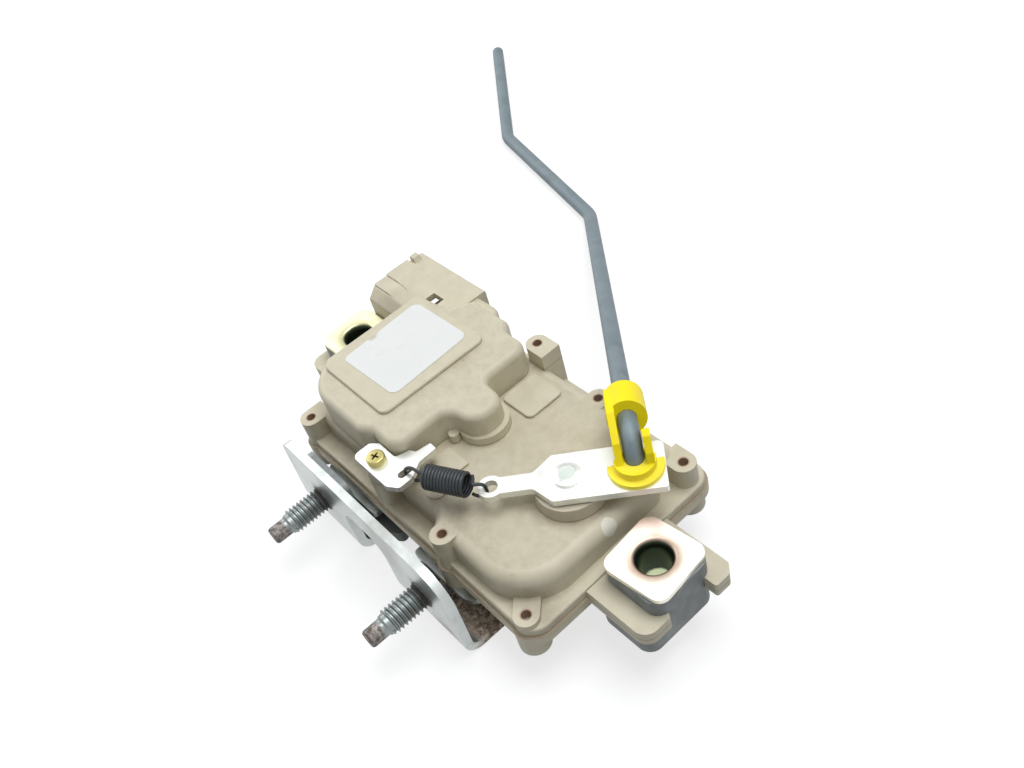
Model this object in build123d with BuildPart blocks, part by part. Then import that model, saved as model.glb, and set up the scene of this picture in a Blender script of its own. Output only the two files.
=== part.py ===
from build123d import *
import os
from math import atan, cos, degrees, hypot, pi, radians, sin, tan

os.makedirs("parts", exist_ok=True)

# Tailgate lock with an electric release. Millimetres, +Z up.
# The origin is on the right mounting collar's bore axis, at the collar's lower face.

# Clearances and fits
running = 0.05
fixed = 0.02
seat_gap = 0.3

# Mounting collars and grommets
collar_pitch = 102.0
collar_height = 15.0
collar_bore_r = 3.3
collar_tube_wall = 0.9
collar_plate_w = 15.0
collar_plate_t = 1.3
collar_plate_corner = 2.6
collar_mouth_r = 4.35
collar_turn = 5.4
grommet_w = 15.2
grommet_corner = 3.0
grommet_foot = 0.4
grommet_skirt_w = 14.0
grommet_skirt_shift = 0.3
grommet_skirt_front = -10.9
grommet_skirt_back = 7.6
grommet_mouth_x = 7.4

# Ears of the lower shell that hold the grommets
ear_low = 6.2
ear_high = 9.7
ear_slot_w = 10.0
ear_near_y = -12.0
ear_far_y = 10.5
ear_near_reach = 8.5
ear_far_reach = 10.5
ear_tip_r = 3.0

# Housing shells
housing_left = -92.0
housing_right = -7.0
housing_front = -26.6
housing_back = 25.5
housing_corner = 5.0
wall = 1.8
shell_floor = 1.5
rim_low = 5.4
seam = 7.7
tub_inset = 2.5
ledge_inset = 0.6
ledge_t = 2.0
deck = 16.5
deck_left = -88.0
deck_right = -11.0
deck_front = -24.3
deck_back = 21.5
deck_round = 3.0

# Motor hump on the upper shell
hump_top = 24.6
hump_left = -90.5
hump_front = -21.5
hump_step_x = -66.0
hump_step_y = -19.6
hump_right = -54.4
hump_back = 18.8
hump_back_left = 21.2
hump_round = 1.8
pad_raise = 0.9
column_x = -50.5
column_r = 4.5
column_ring_r = 5.9
column_ring_top = 18.7
column_blend = 4.0
shoulder_top = 21.2

# Output shaft, release lever and rod
shaft_x = -22.4
shaft_y = 0.0
shaft_r = 4.0
shaft_low = -4.6
dome_r = 7.3
dome_top = 19.6
lever_low = 19.9
lever_t = 1.6
lever_angle = 49.0
lever_ring_u = -15.6
lever_ring_r = 2.75
lever_ring_hole_r = 1.55
lever_neck_half = 2.05
lever_half = 5.9
lever_end_u = 19.5
lever_rod_u = 13.7
lever_rod_hole_r = 3.2
rivet_head_r = 3.0
rivet_head_h = 1.0
neck_r = 1.9
rod_r = 2.0
rod_bend_r = 5.0
rod_wide_bend_r = 10.0
rod_peak_z = 28.9
rod_tail = 2.0
rod_lie_z = -5.0

# Rod clip
clip_flange_r = 5.7
clip_flange_t = 0.8
clip_collar_r = 4.2
clip_collar_h = 1.6
clip_sleeve_r = 4.1
clip_sleeve_from = 8.3
clip_sleeve_to = 16.2
clip_wall = 1.5
clip_flange_cut = 0.6

# Return spring and its anchor
anchor_t = 1.4
anchor_screw_x = -57.8
anchor_screw_y = -22.9
anchor_hook_x = -49.85
anchor_hook_y = -21.0
spring_r = 2.6
spring_wire_r = 0.35
spring_axis_z = 23.0
spring_coils = 13
spring_near_x = -44.2
spring_near_y = -19.4
spring_far_x = -35.1
spring_far_y = -14.9

# Latch frame
sheet = 2.0
base_z = -7.0
flange_y = -33.5
flange_top = 17.5
frame_left = -88.0
frame_right = -24.0
floor_left = -85.5
floor_back = 14.0
frame_bend_r = 2.0
flange_slant = 3.0
flange_round_left = 4.0
flange_round_right = 8.0
throat_x = -55.75
throat_w = 15.5
throat_top = 10.0
throat_end_y = -14.0

# Mounting studs
stud_r = 3.0
stud_knurl_r = 3.3
stud_z = 5.0
stud_left_x = -74.0
stud_pitch = 38.7
stud_length = 10.0
dog_r = 2.1
dog_length = 4.3
stud_head_r = 4.2
stud_head_t = 1.2

# Latch mechanism between the frame's floor and the back plate
works_low = -4.4
works_t = 3.1
back_plate_low = 0.0
plate_front = -27.5
rivet_r = 3.0
fork_x = -69.0
fork_y = -9.0
fork_r = 21.0
fork_hub_r = 6.2
fork_slot_w = 9.4
fork_seat_x = -55.75
fork_seat_y = -19.0
fork_slot_angle = -42.0
tooth_depth = 2.0
tooth_gap = 2.6
tooth_lap = 0.7
pawl_x = -43.5
pawl_y = -23.5
pawl_half = 3.0
arm_tip_x = -33.6
arm_tip_y = -5.4
arm_half = 2.6
torsion_wire = 0.8
torsion_r = 4.8
spacer_r = 3.5
frame_screw_r = 1.5
frame_screw_head_r = 3.0
frame_screw_depth = 4.5

# Electric drive in the hump
motor_axis_y = -10.5
motor_axis_z = 11.0
motor_r = 9.0
motor_half_t = 7.6
motor_left = -86.5
motor_right = -63.5
motor_cap_t = 2.4
motor_shaft_r = 1.0
motor_shaft_end = -43.0
rib_t = 1.8
rib_w = 7.0
rib_low = 9.4
gear_module = 0.8
wheel_teeth = 20
wheel_x = -50.0
wheel_y = 0.3
wheel_t = 3.6
wheel_pin_r = 1.5
worm_pitch_r = 2.8
worm_starts = 2
worm_length = 9.0
worm_end = 0.9
tooth_width = 1.0
drive_pin_r = 1.5
drive_pin_radius = 6.2
drive_pin_angle = 75.0
drive_arm_t = 2.4
drive_arm_half = 2.4

# Connector shroud
plug_mouth = -106.0
plug_back = -84.0
plug_near = 8.0
plug_far = 26.5
plug_low = 13.0
plug_roof = 21.7
plug_slant = 2.6
plug_wall = 1.7
blade_w = 1.5
blade_t = 0.65
blade_tip = -98.0
blade_end = -80.0
blade_z = 17.4
# Strips on the connector: front, back, rise, length of the level part, length at the foot
plug_strips = [
    (10.8, 14.8, 0.45, 6.0, 13.5), (14.8, 21.6, 0.9, 5.0, 14.0), (22.6, 24.6, 1.3, 1.6, 3.0),
]

# Screws of the housing and the seats they drive into
boss_r = 2.7
pilot_r = 1.0
cover_screw_r = 1.0
cover_screw_head_r = 2.0
cover_screw_head_t = 1.4
pillar_r = 3.4

shell_inner = shell_floor + wall
ledge_top = seam + ledge_t
lever_top = lever_low + lever_t
works_high = works_low + works_t
plate_top = back_plate_low + shell_floor
throat_left = throat_x - throat_w / 2
throat_right = throat_x + throat_w / 2
flange_inner = flange_y + sheet
floor_top = base_z + sheet
stud_right_x = stud_left_x + stud_pitch
anchor_top = lever_top
anchor_low = anchor_top - anchor_t
lever_dir = (cos(radians(lever_angle)), sin(radians(lever_angle)), 0)
rod_x = shaft_x + lever_rod_u * lever_dir[0]
rod_y = shaft_y + lever_rod_u * lever_dir[1]

# Screw bosses of the upper shell: x, y, top, and the way the flat tail points
bosses = [
    (-87.7, -23.9, 15.0, 90),
    (-56.7, 22.5, 20.5, 0),
    (-36.4, 21.3, 16.5, -90),
    (-11.1, 20.4, 15.0, 180),
    (-35.3, -24.2, 16.3, 90),
    (-11.6, -23.6, 11.0, 135),
]
# Screws that hold the latch frame under the housing
frame_screws_at = [(-80.0, 8.0), (-30.0, 8.0), (-56.0, 12.0)]


def rounded_block(points, radii, low, high, top_round=0.0, inset=0.0):
    """Upright block over a rounded outline, its upper edge rounded on request."""
    with BuildPart() as block:
        with BuildSketch(Plane.XY.offset(low)):
            with BuildLine():
                FilletPolyline(*points, radius=radii, close=True)
            make_face()
            if inset:
                offset(amount=-inset, kind=Kind.INTERSECTION)
        extrude(amount=high - low)
        if top_round:
            fillet(block.edges().group_by(Axis.Z)[-1], top_round)
    return block.part


def box_points(left, front, right, back):
    """Four corners of an upright rectangle, anticlockwise."""
    return [(left, front), (right, front), (right, back), (left, back)]


def tailed_boss(x, y, low, high, turn, tail, radius):
    """Screw boss with a flat tail on one side."""
    with BuildPart() as boss:
        with BuildSketch(Plane(origin=(x, y, low), x_dir=(cos(radians(turn)), sin(radians(turn)), 0))):
            Circle(radius)
            with Locations((tail / 2, 0)):
                Rectangle(tail, radius * 2)
        extrude(amount=high - low)
    return boss.part


# Outlines shared by the shells
rim_outline = box_points(housing_left, housing_front, housing_right, housing_back)
deck_outline = [
    (deck_left, -22.0), (-41.0, -22.0), (-39.0, deck_front), (deck_right + 0.6, deck_front),
    (deck_right, 12.5), (-13.6, 15.5), (-13.6, deck_back), (deck_left, deck_back),
]
deck_radii = [4, 1.5, 1.5, 12, 2, 2, 3, 4]
hump_outline = [
    (hump_left, hump_front), (hump_step_x, hump_front), (-62.8, hump_step_y), (hump_right, hump_step_y),
    (hump_right, wheel_y - column_r - 1.2), (column_x + column_r, wheel_y - column_r),
    (column_x + column_r, wheel_y + column_r), (hump_right, wheel_y + column_r + 0.6),
    (hump_right, hump_back), (-62.0, hump_back),
    (-64.5, hump_back_left), (-77.0, hump_back_left), (-80.0, 15.5), (hump_left, 14.3),
]
hump_radii = [11, 1.5, 1.5, 3, column_blend, 4.3, 4.3, 2.2, 3.5, 1.5, 1.5, 2, 2, 3]


def ear_outline(root, side, centre, near, far):
    """Fork-shaped ear, side +1 opens to +X and -1 opens to -X."""
    return [
        (root, near), (centre + side * ear_near_reach, near),
        (centre + side * ear_near_reach, -ear_slot_w / 2),
        (centre - side * ear_slot_w / 2, -ear_slot_w / 2),
        (centre - side * ear_slot_w / 2, ear_slot_w / 2),
        (centre + side * ear_far_reach, ear_slot_w / 2),
        (centre + side * ear_far_reach, far - 1.8),
        (centre + side * (ear_far_reach - 1.8), far),
        (root, far),
    ]


# Lower shell: tub, rim, ears, pillars for the screws
with BuildPart() as housing_case:
    add(rounded_block(rim_outline, [housing_corner] * 4, shell_floor, seam, inset=tub_inset))
    add(rounded_block(rim_outline, [housing_corner] * 4, rim_low, seam))
    with Locations(((housing_left + housing_right) / 2, housing_front + 1.3, rim_low - 0.8)):
        Box(housing_right - housing_left - 14, 0.9, 1.6)
    ear_root_low = tub_inset + wall
    for side, centre, edge in ((1, 0.0, housing_right), (-1, -collar_pitch, housing_left)):
        for low, high, root in (
            (ear_low, seam, edge - side * ear_root_low),
            (seam, ear_high, edge - side * (ledge_inset - seat_gap)),
        ):
            with BuildSketch(Plane.XY.offset(low)):
                with BuildLine():
                    FilletPolyline(
                        *ear_outline(root, side, centre, ear_near_y, ear_far_y),
                        radius=[0, ear_tip_r, 1.0, 2.2, 2.2, 0.6, 0.8, 0.8, 0], close=True,
                    )
                make_face()
            extrude(amount=high - low)
    add(
        rounded_block(
            rim_outline, [housing_corner] * 4, shell_inner, seam + 1, inset=tub_inset + wall
        ),
        mode=Mode.SUBTRACT,
    )
    for x, y, top, turn in bosses:
        with Locations((x, y, shell_floor)):
            Cylinder(pillar_r, seam - shell_floor, align=(Align.CENTER, Align.CENTER, Align.MIN))
    for x, y in frame_screws_at:
        with Locations((x, y, shell_floor)):
            Cylinder(
                spacer_r, frame_screw_depth + wall, align=(Align.CENTER, Align.CENTER, Align.MIN)
            )
    # Seat of the shaft's lower bush, post of the wheel pin and the motor's cradle
    with Locations((shaft_x, shaft_y, shell_floor)):
        Cylinder(shaft_r + 3.6, 4.0, align=(Align.CENTER, Align.CENTER, Align.MIN))
    with Locations((wheel_x, wheel_y, shell_floor)):
        Cylinder(wheel_pin_r + 1.8, 3.6, align=(Align.CENTER, Align.CENTER, Align.MIN))
    for x in (motor_left + 4.5, motor_right - 4.5):
        with Locations((x, motor_axis_y, shell_floor)):
            Box(1.8, 2 * motor_half_t, seam - shell_floor, align=(Align.CENTER, Align.CENTER, Align.MIN))
    # Holes
    for x, y, top, turn in bosses:
        with Locations((x, y, shell_floor)):
            Cylinder(
                cover_screw_head_r + 0.2, cover_screw_head_t + 0.2,
                align=(Align.CENTER, Align.CENTER, Align.MIN), mode=Mode.SUBTRACT,
            )
            Cylinder(
                cover_screw_r + fixed, 12,
                align=(Align.CENTER, Align.CENTER, Align.MIN), mode=Mode.SUBTRACT,
            )
    for x, y in frame_screws_at:
        with Locations((x, y, shell_floor)):
            Cylinder(
                frame_screw_r + fixed, frame_screw_depth,
                align=(Align.CENTER, Align.CENTER, Align.MIN), mode=Mode.SUBTRACT,
            )
    with Locations((shaft_x, shaft_y, shell_floor)):
        Cylinder(
            shaft_r + 1.2 + fixed, 12,
            align=(Align.CENTER, Align.CENTER, Align.MIN), mode=Mode.SUBTRACT,
        )
    with Locations((wheel_x, wheel_y, shell_floor + 1.0)):
        Cylinder(
            wheel_pin_r + fixed, 12,
            align=(Align.CENTER, Align.CENTER, Align.MIN), mode=Mode.SUBTRACT,
        )
    with BuildSketch(Plane.YZ.offset(motor_left - 1)):
        with Locations((motor_axis_y, motor_axis_z)):
            Circle(motor_r + fixed)
            Rectangle(3 * motor_r, 2 * (motor_half_t + fixed), mode=Mode.INTERSECT)
    extrude(amount=motor_right - motor_left + 2, mode=Mode.SUBTRACT)
housing_case.part.label = "housing_case"

# Upper shell
with BuildPart() as housing_cover:
    add(
        rounded_block(
            rim_outline, [housing_corner] * 4, seam, ledge_top, inset=ledge_inset, top_round=0.5
        )
    )
    add(rounded_block(deck_outline, deck_radii, seam, deck, top_round=deck_round))
    add(rounded_block(hump_outline, hump_radii, seam, hump_top, top_round=hump_round))
    # Low ring round the foot of the column over the wheel pin
    with BuildSketch(Plane.XY.offset(deck - 1)):
        with Locations((column_x, wheel_y)):
            Circle(column_ring_r)
    extrude(amount=column_ring_top - deck + 1)
    with BuildSketch(Plane.XY.offset(deck - 1)):
        with Locations((-52.5, -6.5)):
            Circle(1.2)
    extrude(amount=3.4)
    # Shoulder beside the connector
    add(
        rounded_block(
            box_points(-84.5, 14.0, -71.5, 24.6), [1, 1, 3, 2], seam, shoulder_top, top_round=1.5
        )
    )
    # Connector shroud, with stepped strips near its mouth
    with BuildSketch(Plane.YZ.offset(plug_mouth)):
        with BuildLine():
            FilletPolyline(
                (plug_near, plug_low), (plug_far, plug_low), (plug_far, plug_roof),
                (plug_near + plug_slant, plug_roof), (plug_near, plug_roof - plug_slant),
                radius=[1, 1, 0.6, 1, 1], close=True,
            )
        make_face()
    extrude(amount=plug_back + 4 - plug_mouth)
    for front, back, high, level, foot in plug_strips:
        with BuildSketch(Plane.XZ.offset(-front)):
            with BuildLine():
                Polyline(
                    (plug_mouth, plug_roof - 1), (plug_mouth, plug_roof + high),
                    (plug_mouth + level, plug_roof + high), (plug_mouth + foot, plug_roof - 1),
                    close=True,
                )
            make_face()
        extrude(amount=front - back)
    # Screw bosses
    for x, y, top, turn in bosses:
        add(tailed_boss(x, y, seam, top, turn, 4.5, boss_r))
    # Pads, output dome, post of the spring anchor
    add(
        rounded_block(
            box_points(-89.0, -15.8, -63.3, 13.6), [3, 2, 2, 1], hump_top - 0.5,
            hump_top + pad_raise, top_round=0.4,
        )
    )
    add(
        rounded_block(
            box_points(-53.3, 7.5, -43.5, 17.5), [1.5] * 4, deck - 0.5, deck + 0.8, top_round=0.3
        )
    )
    add(
        rounded_block(
            box_points(-51.7, -14.5, -44.7, -9.0), [0.5] * 4, deck - 0.5, deck + 0.7, top_round=0.3
        )
    )
    with BuildSketch(Plane.XY.offset(deck - 0.5)):
        with Locations((-44.8, -18.0)):
            Circle(2.4)
    extrude(amount=0.9)
    with Locations((shaft_x, shaft_y, deck - 1)):
        Cone(dome_r + 0.5, dome_r, dome_top - deck + 1, align=(Align.CENTER, Align.CENTER, Align.MIN))
    with Locations((anchor_screw_x, anchor_screw_y, seam)):
        Cylinder(3.2, anchor_low - seam, align=(Align.CENTER, Align.CENTER, Align.MIN))
    # Hollow inside
    add(
        rounded_block(deck_outline, deck_radii, seam - 1, deck - wall, inset=wall),
        mode=Mode.SUBTRACT,
    )
    add(
        rounded_block(
            box_points(hump_left + wall, hump_front + wall, hump_right - wall, hump_step_y + 29),
            [9, 1, 1, 2], seam - 1, hump_top - wall,
        ),
        mode=Mode.SUBTRACT,
    )
    add(
        rounded_block(
            box_points(plug_back + 1.7, 5.0, -57.0, 16.8), [1] * 4, seam - 1, shoulder_top - wall
        ),
        mode=Mode.SUBTRACT,
    )
    # Solid seats that stand inside the hollow
    for x, y, top, turn in bosses:
        with Locations((x, y, seam)):
            Cylinder(boss_r, min(top, deck) - seam, align=(Align.CENTER, Align.CENTER, Align.MIN))
    with Locations((shaft_x, shaft_y, deck - wall - 2.5)):
        Cylinder(dome_r, 3.0, align=(Align.CENTER, Align.CENTER, Align.MIN))
    with Locations((wheel_x, wheel_y, deck - wall - 0.6)):
        Cylinder(5.0, 3.0, align=(Align.CENTER, Align.CENTER, Align.MIN))
    with Locations((anchor_screw_x, anchor_screw_y, ledge_top)):
        Cylinder(3.2, anchor_low - ledge_top, align=(Align.CENTER, Align.CENTER, Align.MIN))
    # Rib that carries the end of the motor's shaft
    with Locations((motor_shaft_end + rib_t / 2, motor_axis_y, rib_low)):
        Box(rib_t, rib_w, deck - rib_low - wall / 2, align=(Align.CENTER, Align.CENTER, Align.MIN))
    # Connector cavity, its two windows and the slots of the blades
    with Locations(((plug_mouth + plug_back) / 2, (plug_near + plug_far) / 2, (plug_low + plug_roof) / 2)):
        Box(
            plug_back - plug_mouth, plug_far - plug_near - 2 * plug_wall,
            plug_roof - plug_low - 2 * plug_wall, mode=Mode.SUBTRACT,
        )
    with Locations((-88.25, 16.5, plug_roof)):
        Box(4.1, 3.4, 5.0, mode=Mode.SUBTRACT)
    with Locations((-99.0, 21.75, plug_low)):
        Box(8.0, 6.5, 5.0, mode=Mode.SUBTRACT)
    for y in (11.8, 15.4):
        with Locations(((blade_tip + blade_end) / 2, y, blade_z)):
            Box(blade_end - blade_tip, blade_w, blade_t, mode=Mode.SUBTRACT)
    # Holes
    for x, y, top, turn in bosses:
        with Locations((x, y, seam - 1)):
            Cylinder(
                pilot_r + fixed, top - seam + 2,
                align=(Align.CENTER, Align.CENTER, Align.MIN), mode=Mode.SUBTRACT,
            )
    with Locations((shaft_x, shaft_y, deck - wall - 3)):
        Cylinder(
            shaft_r + 1.2 + fixed, 12,
            align=(Align.CENTER, Align.CENTER, Align.MIN), mode=Mode.SUBTRACT,
        )
    with Locations((wheel_x, wheel_y, deck - wall - 1)):
        Cylinder(
            wheel_pin_r + fixed, 4.0,
            align=(Align.CENTER, Align.CENTER, Align.MIN), mode=Mode.SUBTRACT,
        )
    with Locations((anchor_screw_x, anchor_screw_y, anchor_low - 7)):
        Cylinder(
            1.5 + fixed, 8,
            align=(Align.CENTER, Align.CENTER, Align.MIN), mode=Mode.SUBTRACT,
        )
    with BuildSketch(Plane.YZ.offset(motor_left - 1)):
        with Locations((motor_axis_y, motor_axis_z)):
            Circle(motor_r + fixed)
            Rectangle(3 * motor_r, 2 * (motor_half_t + fixed), mode=Mode.INTERSECT)
    extrude(amount=motor_right - motor_left + 2, mode=Mode.SUBTRACT)
    with BuildSketch(Plane.YZ.offset(motor_shaft_end - 0.5)):
        with Locations((motor_axis_y, motor_axis_z)):
            Circle(motor_shaft_r + running)
    extrude(amount=rib_t + 1, mode=Mode.SUBTRACT)
housing_cover.part.label = "housing_cover"

# Latch frame: upright flange and floor, one bent sheet
with BuildPart() as latch_frame:
    with BuildSketch(Plane.YZ.offset(frame_left)):
        with BuildLine():
            FilletPolyline(
                (flange_y, flange_top), (flange_y, base_z), (floor_back, base_z),
                (floor_back, floor_top), (flange_inner, floor_top), (flange_inner, flange_top),
                radius=[0, frame_bend_r + sheet, 0, 0, frame_bend_r, 0], close=True,
            )
        make_face()
    extrude(amount=frame_right - frame_left)
    # Flange outline, seen from the front
    with BuildSketch(Plane.XZ.offset(-floor_back - 1)):
        with BuildLine():
            FilletPolyline(
                (frame_left, base_z - 1), (frame_left, base_z), (frame_left + flange_slant, flange_top),
                (frame_right, flange_top), (frame_right, base_z - 1),
                radius=[0, 0, flange_round_left, flange_round_right, 0], close=True,
            )
        make_face()
    extrude(amount=floor_back + 2 - flange_y, mode=Mode.INTERSECT)
    # Floor outline, seen from above
    with BuildSketch(Plane.XY.offset(base_z - 1)):
        with BuildLine():
            FilletPolyline(
                (frame_left - 1, flange_y - 1), (frame_right + 1, flange_y - 1),
                (frame_right + 1, flange_inner + 3), (frame_right, flange_inner + 4),
                (frame_right, floor_back), (floor_left, floor_back),
                (floor_left, flange_inner + 4), (frame_left - 1, flange_inner + 3),
                radius=[0, 0, 0, 0, 4, 4, 1, 0], close=True,
            )
        make_face()
    extrude(amount=flange_top - base_z + 2, mode=Mode.INTERSECT)
    # Striker throat in the flange and in the floor
    with BuildSketch(Plane.XZ.offset(-flange_inner - frame_bend_r - 1)):
        with BuildLine():
            FilletPolyline(
                (throat_left, base_z - 1), (throat_right, base_z - 1),
                (throat_right, throat_top), (throat_left, throat_top),
                radius=[0, 0, 5, 5], close=True,
            )
        make_face()
    extrude(amount=sheet + frame_bend_r + 3, mode=Mode.SUBTRACT)
    with BuildSketch(Plane.XY.offset(base_z - 1)):
        with BuildLine():
            FilletPolyline(
                (throat_left, flange_y - 1), (throat_right, flange_y - 1),
                (throat_right, throat_end_y), (throat_left, throat_end_y),
                radius=[0, 0, 7, 7], close=True,
            )
        make_face()
    extrude(amount=sheet + 2, mode=Mode.SUBTRACT)
    for x in (stud_left_x, stud_right_x):
        with BuildSketch(Plane(origin=(x, flange_y - 1, stud_z), z_dir=(0, 1, 0))):
            Circle(stud_knurl_r + fixed)
        extrude(amount=sheet + 2, mode=Mode.SUBTRACT)
    for x, y in ((fork_x, fork_y), (pawl_x, pawl_y)):
        with Locations((x, y, base_z - 1)):
            Cylinder(
                rivet_r + fixed, sheet + 2,
                align=(Align.CENTER, Align.CENTER, Align.MIN), mode=Mode.SUBTRACT,
            )
    for x, y in frame_screws_at:
        with Locations((x, y, base_z)):
            Cone(
                frame_screw_head_r + fixed, frame_screw_r + fixed, frame_screw_head_r - frame_screw_r,
                align=(Align.CENTER, Align.CENTER, Align.MIN), mode=Mode.SUBTRACT,
            )
            Cylinder(
                frame_screw_r + fixed, sheet + 1,
                align=(Align.CENTER, Align.CENTER, Align.MIN), mode=Mode.SUBTRACT,
            )
latch_frame.part.label = "latch_frame"

# Studs pressed in from behind
with BuildPart() as mount_studs:
    for x in (stud_left_x, stud_right_x):
        profile = Plane(origin=(x, flange_inner, stud_z), x_dir=(1, 0, 0), z_dir=(0, 0, 1))
        with BuildSketch(profile):
            with BuildLine():
                Polyline(
                    (0, stud_head_t), (stud_head_r, stud_head_t), (stud_head_r, 0), (stud_knurl_r, 0),
                    (stud_knurl_r, -sheet), (stud_r, -sheet),
                    (stud_r, -sheet - stud_length + 0.8), (stud_r - 0.8, -sheet - stud_length),
                    (dog_r, -sheet - stud_length),
                    (dog_r, -sheet - stud_length - dog_length + 0.5),
                    (dog_r - 0.5, -sheet - stud_length - dog_length),
                    (0, -sheet - stud_length - dog_length), close=True,
                )
            make_face()
        revolve(axis=Axis((x, flange_inner, stud_z), (0, 1, 0)))
mount_studs.part.label = "mount_studs"


def standing(radius, low, high, places, bore=0.0):
    """Upright round pieces at the places given, bored through on request."""
    with BuildPart() as group:
        for x, y in places:
            with Locations((x, y, low)):
                Cylinder(radius, high - low, align=(Align.CENTER, Align.CENTER, Align.MIN))
                if bore:
                    Cylinder(
                        bore, high - low,
                        align=(Align.CENTER, Align.CENTER, Align.MIN), mode=Mode.SUBTRACT,
                    )
    return group


# Back plate that closes the latch mechanism, with the throat cut in it
with BuildPart() as back_plate:
    with BuildSketch(Plane.XY.offset(back_plate_low)):
        with BuildLine():
            FilletPolyline(
                (floor_left, plate_front), (throat_left, plate_front),
                (throat_left, throat_end_y), (throat_right, throat_end_y),
                (throat_right, plate_front), (-27.0, plate_front),
                (-27.0, floor_back), (floor_left, floor_back),
                radius=[4, 1, 7, 7, 1, 4, 4, 4], close=True,
            )
        make_face()
        with Locations((fork_x, fork_y), (pawl_x, pawl_y)):
            Circle(rivet_r + fixed, mode=Mode.SUBTRACT)
        with Locations(*frame_screws_at):
            Circle(frame_screw_r + fixed, mode=Mode.SUBTRACT)
    extrude(amount=shell_floor - back_plate_low)
back_plate.part.label = "back_plate"

# Pivot rivets, spacers and the screws that hold frame and housing together
pivot_rivets = standing(rivet_r, base_z, plate_top, [(fork_x, fork_y), (pawl_x, pawl_y)])
pivot_rivets.part.label = "pivot_rivets"
frame_spacers = standing(
    spacer_r, floor_top, back_plate_low, frame_screws_at, bore=frame_screw_r + fixed
)
frame_spacers.part.label = "frame_spacers"
with BuildPart() as frame_screws:
    for x, y in frame_screws_at:
        with Locations((x, y, base_z)):
            Cone(
                frame_screw_head_r, frame_screw_r, frame_screw_head_r - frame_screw_r,
                align=(Align.CENTER, Align.CENTER, Align.MIN),
            )
            Cylinder(
                frame_screw_r, shell_floor + frame_screw_depth - base_z,
                align=(Align.CENTER, Align.CENTER, Align.MIN),
            )
frame_screws.part.label = "frame_screws"

# Fork that holds the striker: a disc sector with a slot, and a tooth for the pawl
slot_dir = (cos(radians(fork_slot_angle)), sin(radians(fork_slot_angle)), 0)
with BuildPart() as fork_bolt:
    with BuildSketch(Plane.XY.offset(works_low)):
        with Locations((fork_x, fork_y)):
            Circle(fork_r)
        with BuildLine():
            Polyline(
                (fork_x, fork_y),
                (fork_x + 40 * cos(radians(-108)), fork_y + 40 * sin(radians(-108))),
                (fork_x + 60, fork_y - 60),
                (fork_x + 40 * cos(radians(9)), fork_y + 40 * sin(radians(9))), close=True,
            )
        make_face(mode=Mode.INTERSECT)
        with Locations((fork_x, fork_y)):
            Circle(fork_hub_r)
        with BuildLine():
            Polyline(
                (fork_x, fork_y - fork_hub_r + 0.3), (fork_x, fork_y + fork_hub_r),
                (fork_x + 18.0, fork_y + 3.0), (fork_x + 18.0, fork_y - 1.0), close=True,
            )
        make_face()
    extrude(amount=works_t)
    with BuildSketch(Plane(origin=(fork_seat_x, fork_seat_y, works_low), x_dir=slot_dir)):
        Circle(fork_slot_w / 2)
        with Locations((20, 0)):
            Rectangle(40, fork_slot_w)
    extrude(amount=works_t, mode=Mode.SUBTRACT)
    # Notch below the tooth, where the pawl stands
    with BuildSketch(Plane.XY.offset(works_low)):
        with Locations((fork_x, fork_y)):
            Circle(fork_r + 5)
            Circle(fork_r - tooth_depth, mode=Mode.SUBTRACT)
        with BuildLine():
            Polyline(
                (fork_x, fork_y), (fork_x + 40, fork_y),
                (fork_x + 40 * cos(radians(-28)), fork_y + 40 * sin(radians(-28))), close=True,
            )
        make_face(mode=Mode.INTERSECT)
    extrude(amount=works_t, mode=Mode.SUBTRACT)
    with Locations((fork_x, fork_y, works_low)):
        Cylinder(
            rivet_r + running, works_t,
            align=(Align.CENTER, Align.CENTER, Align.MIN), mode=Mode.SUBTRACT,
        )
    fillet(fork_bolt.edges().filter_by(Axis.Z).filter_by_position(Axis.Y, -31, -17), 1.2)
fork_bolt.part.label = "fork_bolt"

# Pawl: a strut under the fork's tooth, and a tail that the release arm pushes
tip_x = fork_x + fork_r - tooth_lap
tip_y = fork_y - tooth_gap
with BuildPart() as pawl:
    with BuildSketch(Plane.XY.offset(works_low)):
        with BuildLine():
            FilletPolyline(
                (tip_x, tip_y), (tip_x + 0.2, tip_y - 3.4), (pawl_x - 5.2, pawl_y + 1.0),
                (pawl_x - 1.5, pawl_y - 5.0), (pawl_x + 5.0, pawl_y - 1.0),
                (arm_tip_x + 1.6, arm_tip_y - 5.2), (arm_tip_x - 1.2, arm_tip_y - 3.0),
                (pawl_x + 2.2, pawl_y + 9.0), (tip_x + 3.6, tip_y),
                radius=[0.4, 1, 3, 4, 4, 1.2, 1.2, 2, 1], close=True,
            )
        make_face()
        with Locations((pawl_x, pawl_y)):
            Circle(rivet_r + running, mode=Mode.SUBTRACT)
    extrude(amount=works_t)
pawl.part.label = "pawl"

# Release arm on the lower end of the output shaft
arm_length = hypot(arm_tip_x - shaft_x, arm_tip_y - shaft_y)
with BuildPart() as release_arm:
    with BuildSketch(
        Plane(
            origin=(shaft_x, shaft_y, works_low),
            x_dir=((arm_tip_x - shaft_x) / arm_length, (arm_tip_y - shaft_y) / arm_length, 0),
        )
    ):
        Circle(shaft_r + 2.2)
        with Locations((arm_length / 2, 0)):
            Rectangle(arm_length, 2 * arm_half)
        with Locations((arm_length, 0)):
            Circle(arm_half)
        Circle(shaft_r + fixed, mode=Mode.SUBTRACT)
    extrude(amount=works_t)
release_arm.part.label = "release_arm"

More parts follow.
